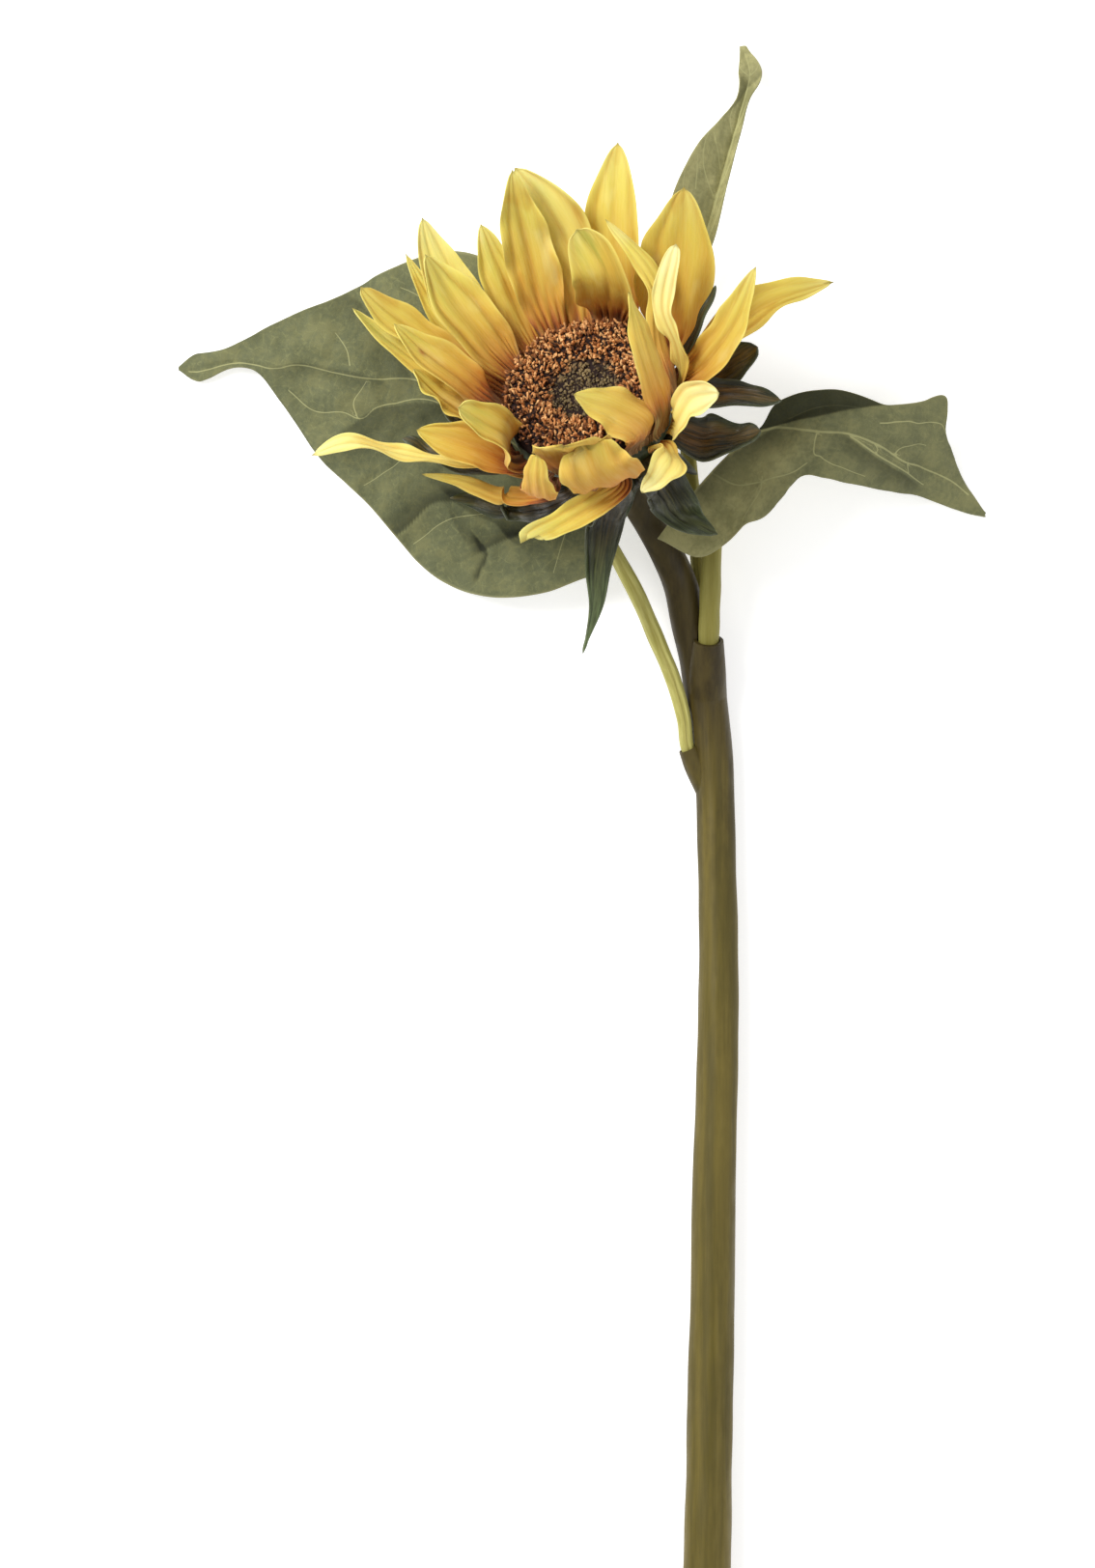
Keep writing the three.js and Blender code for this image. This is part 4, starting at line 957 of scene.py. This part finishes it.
def make_florets():
    """The florets as one mesh of thin bent tufts: small rings of uneven points stacked along each one's way
    up. `tone` is how orange a floret is, with painted light near the top of the disc and painted shade on its
    left rim added, `rise` how far up it a point lies, and `ring` its place from the middle of the disc to the
    rim. They stand tallest in a ridge round the middle."""
    rng = np.random.default_rng(DISC_SEED)
    radius, turn, seat, up, side = floret_places(rng)
    other = np.cross(up, side)
    x, y = radius * np.cos(turn), radius * np.sin(turn)
    ring = radius / DISC_RADIUS + 0.04 * hills(rng, x, y, size=5)
    patch = hills(rng, x, y, size=6)
    ridge = smoothstep(0.36, 0.58, ring) * (1 - 0.5 * smoothstep(0.9, 1, ring))
    tall = rng.uniform(1.2, 2.9, FLORETS) * (0.6 + 0.5 * ridge) + 0.25 * patch
    girth = rng.uniform(0.26, 0.5, FLORETS)

    steps, spread = np.array(FLORET_SHAPE).T
    corners = np.arange(FLORET_SIDES) / FLORET_SIDES * 2 * np.pi
    ragged = 1 + rng.normal(0, 0.26, (FLORETS, len(steps), FLORET_SIDES))
    out = girth[:, None, None] * spread[None, :, None] * ragged
    lift = tall[:, None, None] * steps[None, :, None] * (1 + rng.normal(0, 0.09, ragged.shape))
    bend = rng.uniform(0, 0.9, FLORETS)[:, None, None] * steps[None, :, None] ** 2
    points = (seat[:, None, None]
              + (bend + out * np.cos(corners))[..., None] * side[:, None, None]
              + (out * np.sin(corners))[..., None] * other[:, None, None]
              + lift[..., None] * up[:, None, None]).reshape(-1, 3)

    quads, _ = grid_quads(len(steps), FLORET_SIDES, wrap=True)
    foot = np.arange(FLORET_SIDES)
    caps = np.stack([foot[::-1], (len(steps) - 1) * FLORET_SIDES + foot])
    each = len(steps) * FLORET_SIDES
    shift = (np.arange(FLORETS) * each)[:, None, None]
    faces = [(quads[None] + shift).reshape(-1, 4), (caps[None] + shift).reshape(-1, FLORET_SIDES)]
    uvs = [np.zeros((*f.shape, 2)) for f in faces]

    # Painted light near the top of the disc and painted shade on its left rim, added to the tone.
    bearing = np.degrees(turn) % 360
    painted_rim_shade = 0.4 * np.exp(-(((bearing - 185) / 38) ** 2)) * smoothstep(0.6, 0.9, ring)
    painted_top_light = 0.15 * np.exp(-(((bearing - 85) / 50) ** 2))
    tone = 0.12 + rng.beta(1.1, 1.3, FLORETS) * (0.3 + 0.8 * ridge) + 0.16 * patch + painted_top_light - painted_rim_shade
    looks = dict(tone=np.repeat(np.clip(tone, 0, 1), each), ring=np.repeat(ring, each),
                 rise=np.tile(np.repeat(steps, FLORET_SIDES), FLORETS))
    return make_piece("florets", points, faces, uvs, looks, crease=70)


# ---- Materials


def colour(red, green, blue):
    """A colour as a screen shows it, each part from 0 to 255, as the linear colour that a shader wants."""
    return (*(float(((c / 255 + 0.055) / 1.055) ** 2.4) for c in (red, green, blue)), 1.0)


class Mixture:
    """A node tree being filled: each call adds a node and returns its main output."""

    def __init__(self, tree):
        self.tree = tree

    def node(self, kind, inputs=(), **settings):
        """A node with its settings and inputs, each input a plain value or another node's output."""
        made = self.tree.nodes.new(kind)
        for name, value in settings.items():
            setattr(made, name, value)
        for key, value in dict(inputs).items():
            if isinstance(value, bpy.types.NodeSocket):
                self.tree.links.new(value, made.inputs[key])
            else:
                made.inputs[key].default_value = value
        return made

    def field(self, name):
        """A value that a piece names for each of its points."""
        return self.node("ShaderNodeAttribute", attribute_name=name).outputs["Fac"]

    def place(self):
        """Where a point is, in metres."""
        return self.node("ShaderNodeTexCoord").outputs["Object"]

    def cloth_place(self):
        """Where a point is on the piece laid flat."""
        return self.node("ShaderNodeUVMap", uv_map="UVMap").outputs["UV"]

    def stretched(self, vector, scale):
        """A place multiplied by a scale in each direction; a small one draws a pattern out that way."""
        return self.node("ShaderNodeMapping", {"Vector": vector, "Scale": scale}).outputs["Vector"]

    def maths(self, operation, a, b=0.0):
        return self.node("ShaderNodeMath", {0: a, 1: b}, operation=operation).outputs[0]

    def times(self, product, *others):
        """All the values multiplied."""
        for other in others:
            product = self.maths("MULTIPLY", product, other)
        return product

    def plus(self, total, *others):
        """All the values added."""
        for other in others:
            total = self.maths("ADD", total, other)
        return total

    def size_of(self, name):
        """A field without its sign, such as how far from the middle line a point lies."""
        return self.maths("ABSOLUTE", self.field(name))

    def noise(self, vector, scale, detail=3.0, roughness=0.55, distortion=0.0):
        inputs = {"Vector": vector, "Scale": scale, "Detail": detail, "Roughness": roughness}
        return self.node("ShaderNodeTexNoise", {**inputs, "Distortion": distortion}).outputs["Fac"]

    def between(self, value, low, high, start=0.0, end=1.0):
        """A value's way from low to high, read as a smooth way from start to end."""
        inputs = {"Value": value, "From Min": low, "From Max": high, "To Min": start, "To Max": end}
        return self.node("ShaderNodeMapRange", inputs, interpolation_type="SMOOTHSTEP").outputs["Result"]

    def ramp(self, value, *stops):
        """A colour ramp. Each stop is its position and then its red, green and blue."""
        made = self.node("ShaderNodeValToRGB", {"Fac": value})
        elements = made.color_ramp.elements
        while len(elements) < len(stops):
            elements.new(0.5)
        for element, (position, *shade) in zip(elements, stops):
            element.position, element.color = position, colour(*shade)
        return made.outputs["Color"]

    def blend(self, share, under, over, how="MIX"):
        """Two colours mixed: a share of the one over the one under."""
        made = self.node("ShaderNodeMix", {0: share, 6: under, 7: over}, data_type="RGBA", blend_type=how)
        return made.outputs[2]

    def bump(self, height, strength, distance, normal=None):
        """Normals bent by a height, on top of other bent normals where they are given."""
        inputs = {"Height": height, "Strength": strength, "Distance": distance}
        if normal is not None:
            inputs["Normal"] = normal
        return self.node("ShaderNodeBump", inputs).outputs["Normal"]

    def effect(self, group, **inputs):
        """A shared effect, placed with this material's own values."""
        named = {name.capitalize(): value for name, value in inputs.items()}
        return self.node("ShaderNodeGroup", named, node_tree=group).outputs[0]


class Finish(Mixture):
    """A new material with one Principled shader, its tree filled in the same way."""

    def __init__(self, name, specular=0.5):
        self.material = bpy.data.materials.new(name)
        self.material.use_nodes = True
        super().__init__(self.material.node_tree)
        self.shader = self.tree.nodes["Principled BSDF"]
        self.set("Specular IOR Level", specular)

    def set(self, socket, value):
        """Puts a plain value on one of the shader's own sockets."""
        self.shader.inputs[socket].default_value = value

    def lead(self, value, socket):
        """Leads a value that changes over the surface to one of the shader's sockets."""
        self.tree.links.new(value, self.shader.inputs[socket])

    def end(self, shade, roughness, normal):
        """Leads the colour, the roughness and the normals to the shader, and hands the material over."""
        self.lead(shade, "Base Color")
        self.lead(roughness, "Roughness")
        self.lead(normal, "Normal")
        return self.material


NUMBER, VECTOR = "NodeSocketFloat", "NodeSocketVector"


def new_effect(name, output, **inputs):
    """A node group with named inputs, each given as (kind, default), and one output, all made with
    interface.new_socket. Returns its mixture, its inputs by name and a function that ends it."""
    group = bpy.data.node_groups.new(name, "ShaderNodeTree")
    for key, (kind, default) in inputs.items():
        socket = group.interface.new_socket(key.capitalize(), in_out="INPUT", socket_type=kind)
        if default is not None:
            socket.default_value = default
    group.interface.new_socket(output, in_out="OUTPUT", socket_type="NodeSocketFloat")
    mix = Mixture(group)
    source = mix.node("NodeGroupInput")

    def end(value):
        mix.node("NodeGroupOutput", {0: value})
        return group

    return mix, {key: source.outputs[i] for i, key in enumerate(inputs)}, end


def weave_effect():
    """The height of a plain weave: two sets of threads that cross, with a little unevenness between them."""
    mix, given, end = new_effect("weave", "Height", vector=(VECTOR, None), threads=(NUMBER, 90.0))
    inputs = {"Vector": given["vector"], "Scale": given["threads"], "Distortion": 0.6, "Detail": 1.0}
    warp = mix.node("ShaderNodeTexWave", inputs, bands_direction="X").outputs["Fac"]
    weft = mix.node("ShaderNodeTexWave", inputs, bands_direction="Y").outputs["Fac"]
    return end(mix.times(warp, weft))


def streak_effect():
    """A mask of long soft streaks along a cloth piece: noise that is drawn out along it."""
    mix, given, end = new_effect("streaks", "Mask", vector=(VECTOR, None), fine=(NUMBER, 40.0))
    drawn = mix.stretched(given["vector"], (1.0, 0.07, 1.0))
    return end(mix.between(mix.noise(drawn, given["fine"], 4.0, 0.6), 0.3, 0.7))


def mottle_effect():
    """A mask of cloudy patches with finer flecks in them: two noises of different size, added."""
    mix, given, end = new_effect("mottling", "Mask", vector=(VECTOR, None), size=(NUMBER, 60.0))
    cloud = mix.noise(given["vector"], given["size"], 3.0, 0.55, 0.4)
    fleck = mix.noise(given["vector"], mix.times(given["size"], 7.0), 2.0)
    return end(mix.between(mix.plus(mix.times(cloud, 0.7), mix.times(fleck, 0.3)), 0.36, 0.64))


def petal_cloth(weave, streaks):
    """Dyed cloth: rust red at the base, then gold, then lemon at the tip, each petal with its own share of
    gold, olive painted shade in the hollow of the tip, painted shade in its folds, painted shade and
    highlights where the cloth bends, painted shade that dims the petals facing the lamp, and a paler back."""
    mix = Finish("petal_cloth", 0.2)
    mix.set("Subsurface Weight", 0.12)
    mix.set("Subsurface Radius", (1.0, 0.7, 0.2))
    mix.set("Subsurface Scale", 0.002)
    cloth = mix.cloth_place()
    long_streaks = mix.effect(streaks, vector=cloth, fine=16.0)
    fine_streaks = mix.effect(streaks, vector=cloth, fine=90.0)

    # How far along the dye has changed: shifted by the streaks, the gathers and the petal's rust.
    waver = mix.times(mix.maths("SUBTRACT", long_streaks, 0.5), 0.12)
    shift = mix.plus(mix.times(mix.field("gather"), -0.1), mix.times(mix.field("rust"), -0.2))
    along = mix.plus(mix.field("along"), waver, shift)
    golden = mix.ramp(along, (0.0, 96, 40, 22), (0.09, 160, 80, 34), (0.2, 196, 126, 46),
                      (0.5, 205, 158, 57), (0.8, 207, 180, 72), (1.0, 208, 190, 96))
    lemon = mix.ramp(along, (0.0, 104, 46, 24), (0.07, 176, 96, 38), (0.17, 203, 150, 56),
                     (0.4, 213, 188, 78), (0.75, 218, 208, 100), (1.0, 224, 219, 132))
    cream = mix.ramp(along, (0.0, 190, 110, 40), (0.15, 228, 194, 84), (0.5, 240, 226, 134),
                     (1.0, 244, 238, 176))
    shade = mix.blend(mix.field("tint"), lemon, golden)
    shade = mix.blend(mix.field("pale"), shade, cream)

    # Painted shade in the folds, fine light streaks, and painted shade and highlights where the cloth bends.
    painted_fold_shade = mix.times(mix.field("fold"), mix.between(long_streaks, 0.0, 1.0, 0.35, 0.75))
    shade = mix.blend(painted_fold_shade, shade, colour(206, 160, 80), "MULTIPLY")
    shade = mix.blend(mix.times(fine_streaks, 0.08), shade, colour(255, 246, 170), "SCREEN")
    # Painted shade where this noise is low and painted highlight where it is high, as on bent cloth.
    painted_bend_light = mix.noise(mix.stretched(cloth, (1.0, 0.45, 1.0)), 5.5, 2.0)
    shade = mix.blend(mix.between(painted_bend_light, 0.42, 0.3, 0.0, 0.45), shade, colour(226, 190, 120), "MULTIPLY")
    shade = mix.blend(mix.between(painted_bend_light, 0.56, 0.7, 0.0, 0.16), shade, colour(255, 250, 180), "SCREEN")

    # The olive painted shade in the hollow of the tip, the light rim, the back, the scorched tip, the blot
    # and the painted shade that dims a petal facing the lamp.
    inner = mix.between(mix.size_of("across"), 0.95, 0.35)
    outer = mix.between(along, 0.55, 0.95)
    # Painted shade: olive in the middle of the petal towards its tip, where it is hollow.
    painted_tip_shade = mix.times(outer, mix.between(long_streaks, 0.0, 1.0, 0.3, 1.0), inner, mix.field("olive"))
    shade = mix.blend(painted_tip_shade, shade, colour(146, 142, 50))
    rim = mix.times(mix.between(mix.size_of("across"), 0.88, 1.0), mix.between(along, 0.15, 0.4), 0.3)
    shade = mix.blend(rim, shade, colour(238, 222, 124))
    shade = mix.blend(mix.times(mix.field("back"), 0.1), shade, colour(232, 214, 124))
    shade = mix.blend(mix.between(mix.field("along"), 0.97, 1.0, 0.0, 0.7), shade, colour(126, 112, 52))
    shade = mix.blend(mix.field("blot"), shade, colour(150, 74, 26))
    # Painted shade: the petals that face the lamp most are dimmed.
    shade = mix.blend(mix.field("painted_dimming"), shade, colour(230, 223, 208), "MULTIPLY")

    roughness = mix.between(long_streaks, 0.0, 1.0, 0.66, 0.82)
    creases = mix.bump(fine_streaks, 0.2, 0.0003)
    threads = mix.effect(weave, vector=cloth, threads=110.0)
    return mix.end(shade, roughness, mix.bump(threads, 0.12, 0.0001, creases))


def leaf_cloth(weave, mottling):
    """Printed cloth: grey green with olive clouds and flecks, a fine grain and a net of faint veins, pale
    veins, painted shade by its folds and painted shadow under what lies over it, worn light rims, a paler
    back, and a paler colour that is partly the leaf's own and, on the right leaf's lobe, painted light."""
    mix = Finish("leaf_cloth", 0.2)
    cloth = mix.cloth_place()
    clouds = mix.effect(mottling, vector=cloth, size=5.0)
    flecks = mix.effect(mottling, vector=cloth, size=34.0)
    shade = mix.ramp(clouds, (0.0, 90, 94, 67), (0.5, 101, 104, 73), (1.0, 114, 114, 77))
    shade = mix.blend(mix.times(flecks, 0.3), shade, colour(124, 124, 86))
    # The paler colour: the leaf's own and, on the right leaf's lobe, painted light.
    paleness_and_painted_light = mix.blend(clouds, colour(150, 146, 98), colour(184, 178, 124))
    shade = mix.blend(mix.field("paleness_and_painted_light"), shade, paleness_and_painted_light)
    grain = mix.noise(cloth, 300.0, 3.0, 0.7)
    shade = mix.blend(mix.between(grain, 0.55, 0.7, 0.0, 0.42), shade, colour(158, 156, 116))
    shade = mix.blend(mix.between(grain, 0.46, 0.3, 0.0, 0.42), shade, colour(56, 60, 42))
    cells = {"Vector": cloth, "Scale": 13.0, "Randomness": 0.9}
    net = mix.node("ShaderNodeTexVoronoi", cells, feature="DISTANCE_TO_EDGE").outputs["Distance"]
    net = mix.times(mix.between(net, 0.06, 0.0), mix.between(flecks, 0.3, 0.9, 0.05, 0.4))
    shade = mix.blend(net, shade, colour(138, 138, 94))
    near_vein = mix.between(mix.field("near_vein"), 0.2, 0.7)
    vein = mix.times(near_vein, mix.between(mix.size_of("from_vein"), 1.0, 0.45, 0.0, 0.62))
    shade = mix.blend(vein, shade, colour(180, 178, 126))
    # Painted shade and shadow, darkening the leaf towards near black.
    shade = mix.blend(mix.field("shade"), shade, colour(40, 42, 26))
    rim = mix.between(mix.size_of("across"), 0.975, 1.0, 0.0, 0.5)
    shade = mix.blend(rim, shade, colour(160, 156, 114))
    shade = mix.blend(mix.times(mix.field("back"), 0.55), shade, colour(146, 144, 112))
    roughness = mix.between(flecks, 0.0, 1.0, 0.68, 0.85)
    soft = mix.bump(clouds, 0.2, 0.0008)
    threads = mix.effect(weave, vector=cloth, threads=95.0)
    return mix.end(shade, roughness, mix.bump(threads, 0.18, 0.0001, soft))


def sepal_plastic(streaks, mottling):
    """Moulded plastic: near black green, flushed orange brown up the middle, darker in its ribs, glossy."""
    mix = Finish("sepal_plastic", 0.35)
    lines = mix.effect(streaks, vector=mix.cloth_place(), fine=60.0)
    patches = mix.effect(mottling, vector=mix.place(), size=160.0)
    shade = mix.blend(lines, colour(24, 26, 15), colour(50, 48, 24))
    middle = mix.between(mix.size_of("across"), 0.9, 0.2)
    shade = mix.blend(mix.times(middle, lines, mix.field("flush")), shade, colour(150, 96, 26))
    outer = mix.between(mix.field("along"), 0.35, 0.9)
    green = mix.times(outer, mix.field("green"), mix.between(lines, 0, 1, 0.4, 1))
    shade = mix.blend(green, shade, colour(104, 122, 78))
    shade = mix.blend(mix.times(mix.field("rib"), 0.6), shade, colour(24, 24, 16))
    rim = mix.between(mix.size_of("across"), 0.93, 1.0, 0.0, 0.35)
    shade = mix.blend(rim, shade, colour(92, 96, 66))
    return mix.end(shade, mix.between(patches, 0.0, 1.0, 0.3, 0.55), mix.bump(lines, 0.35, 0.0004))


def stem_plastic(mottling):
    """Moulded stem: olive brown that darkens to brown towards the head, drawn out streaks and patches, and
    a pale pithy cut end."""
    mix = Finish("stem_plastic", 0.25)
    place = mix.place()
    drawn = mix.stretched(place, (1.0, 0.05, 1.0))
    streaks = mix.between(mix.noise(drawn, 260.0, 4.0, 0.6), 0.3, 0.7)
    patches = mix.effect(mottling, vector=mix.stretched(place, (1.0, 0.35, 1.0)), size=70.0)
    lower = mix.blend(streaks, colour(84, 74, 26), colour(112, 98, 42))
    upper = mix.blend(streaks, colour(50, 40, 16), colour(74, 62, 28))
    height = mix.node("ShaderNodeSeparateXYZ", {0: place}).outputs["Y"]
    neck = mix.between(mix.plus(height, mix.times(patches, 0.02)), NECK_START, NECK_END)
    shade = mix.blend(neck, lower, upper)
    shade = mix.blend(mix.times(patches, 0.3), shade, colour(66, 58, 26))
    fibres = mix.between(mix.noise(place, 900.0, 3.0), 0.35, 0.65)
    pith = mix.blend(fibres, colour(176, 176, 120), colour(206, 202, 152))
    shade = mix.blend(mix.field("cut"), shade, pith)
    return mix.end(shade, mix.between(patches, 0.0, 1.0, 0.42, 0.6), mix.bump(streaks, 0.25, 0.0003))


def stalk_plastic(streaks):
    """Moulded leaf stalk: yellow green with fine streaks along it, deeper in the furrow, pale at its ends."""
    mix = Finish("stalk_plastic", 0.25)
    lines = mix.effect(streaks, vector=mix.cloth_place(), fine=130.0)
    shade = mix.blend(lines, colour(160, 154, 78), colour(194, 188, 114))
    shade = mix.blend(mix.times(mix.field("furrow"), 0.5), shade, colour(128, 114, 44))
    shade = mix.blend(mix.field("deep"), shade, colour(122, 114, 50))
    shade = mix.blend(mix.times(mix.field("cut"), 0.6), shade, colour(206, 204, 160))
    return mix.end(shade, mix.between(lines, 0.0, 1.0, 0.45, 0.6), mix.bump(lines, 0.2, 0.0002))


def receptacle_plastic(mottling):
    """Moulded green dome, darker between its ribs."""
    mix = Finish("receptacle_plastic")
    patches = mix.effect(mottling, vector=mix.place(), size=120.0)
    shade = mix.blend(patches, colour(54, 62, 38), colour(82, 90, 56))
    shade = mix.blend(mix.times(mix.field("rib"), 0.5), shade, colour(36, 42, 26))
    return mix.end(shade, mix.between(patches, 0.0, 1.0, 0.35, 0.55), mix.bump(patches, 0.2, 0.0004))


def floret_fibre():
    """The florets: painted shade low down, dark brown in the gaps between them, and rust, orange brown or tan
    at their tips by their tone, which carries painted light and shade round the disc, and an olive brown in
    the middle of the disc."""
    mix = Finish("floret_fibre", 0.3)
    grain = mix.noise(mix.place(), 1400.0, 3.0, 0.6)
    tone = mix.plus(mix.field("tone"), mix.times(mix.maths("SUBTRACT", grain, 0.5), 0.5))
    warm = mix.ramp(tone, (0.0, 48, 28, 24), (0.3, 112, 68, 40), (0.6, 192, 124, 68), (1.0, 240, 186, 124))
    cool = mix.ramp(tone, (0.0, 60, 50, 38), (0.4, 128, 110, 76), (1.0, 184, 160, 114))
    shade = mix.blend(mix.between(mix.field("ring"), 0.36, 0.5), cool, warm)
    # Painted shade: the florets darken towards their feet, in the gaps between them.
    shade = mix.blend(mix.between(mix.field("rise"), 0.75, 0.1), shade, colour(34, 18, 14))
    return mix.end(shade, mix.between(grain, 0.3, 0.7, 0.75, 0.95), mix.bump(grain, 0.4, 0.0003))


# ---- Floor, light and camera


def make_stage():
    """A wide pale floor, a large soft lamp up to the left, a weaker one to the right, and a white sky."""
    floor = bpy.data.meshes.new("floor")
    far = FLOOR_HALF
    corners = [(x, y, FLOOR_HEIGHT) for x, y in ((-far, -far), (far, -far), (far, far), (-far, far))]
    floor.from_pydata(corners, [], [(0, 1, 2, 3)])
    mix = Finish("floor_paper", 0.1)
    paper = mix.noise(mix.place(), 40.0, 2.0)
    mix.lead(mix.blend(paper, (0.86, 0.86, 0.86, 1), (0.88, 0.88, 0.88, 1)), "Base Color")
    mix.set("Roughness", 0.95)
    mix.set("Emission Color", (1, 1, 1, 1))
    mix.set("Emission Strength", FLOOR_GLOW)
    floor.materials.append(mix.material)
    ground = bpy.data.objects.new("floor", floor)
    bpy.context.scene.collection.objects.link(ground)

    centre = Vector((cad_box[0] + cad_box[1]) / 2)
    for name, direction, power, size in LAMPS:
        lamp = bpy.data.lights.new(name, "AREA")
        lamp.energy, lamp.size = power, size
        holder = bpy.data.objects.new(name, lamp)
        holder.location = centre + Vector(direction)
        holder.rotation_euler = (-Vector(direction)).to_track_quat("-Z", "Y").to_euler()
        bpy.context.scene.collection.objects.link(holder)

    world = bpy.data.worlds.new("white_sky")
    world.use_nodes = True
    world.node_tree.nodes["Background"].inputs["Color"].default_value = (1, 1, 1, 1)
    world.node_tree.nodes["Background"].inputs["Strength"].default_value = SKY
    bpy.context.scene.world = world
    bpy.context.scene.view_settings.view_transform = "Standard"


def make_camera():
    """Straight above the flower and a little below its head, looking down, with +Y up the picture."""
    camera = bpy.data.cameras.new("camera")
    camera.sensor_fit, camera.sensor_width, camera.lens = "AUTO", 36, LENS
    camera.clip_start, camera.clip_end = 0.1, 20
    holder = bpy.data.objects.new("camera", camera)
    holder.location = Vector((np.array(CAMERA_PLACE) + TO_FRAME) * MM)
    bpy.context.scene.collection.objects.link(holder)
    bpy.context.scene.camera = holder


# ---- Assembly


def finish_piece(piece, node, material):
    """Gives a piece its material, hangs it from the root body and hides the CAD node that it stands for."""
    piece.data.materials.clear()
    piece.data.materials.append(material)
    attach(piece, "root")
    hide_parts(node)


make_camera()
make_stage()

weave, streaks, mottling = weave_effect(), streak_effect(), mottle_effect()
petal_material = petal_cloth(weave, streaks)
for number, blade in enumerate(PETALS, 1):
    make_petal(number, blade, petal_material)
sepal_material = sepal_plastic(streaks, mottling)
for number, blade in enumerate(SEPALS, 1):
    make_sepal(number, blade, sepal_material)
leaf_material = leaf_cloth(weave, mottling)
for name, leaf in LEAVES.items():
    make_leaf(name, leaf, leaf_material)
make_stem(stem_plastic(mottling))
stalk_material = stalk_plastic(streaks)
for name, stalk in STALKS.items():
    make_stalk(name, stalk, stalk_material)
make_receptacle(receptacle_plastic(mottling))
make_seed_disc(floret_fibre())
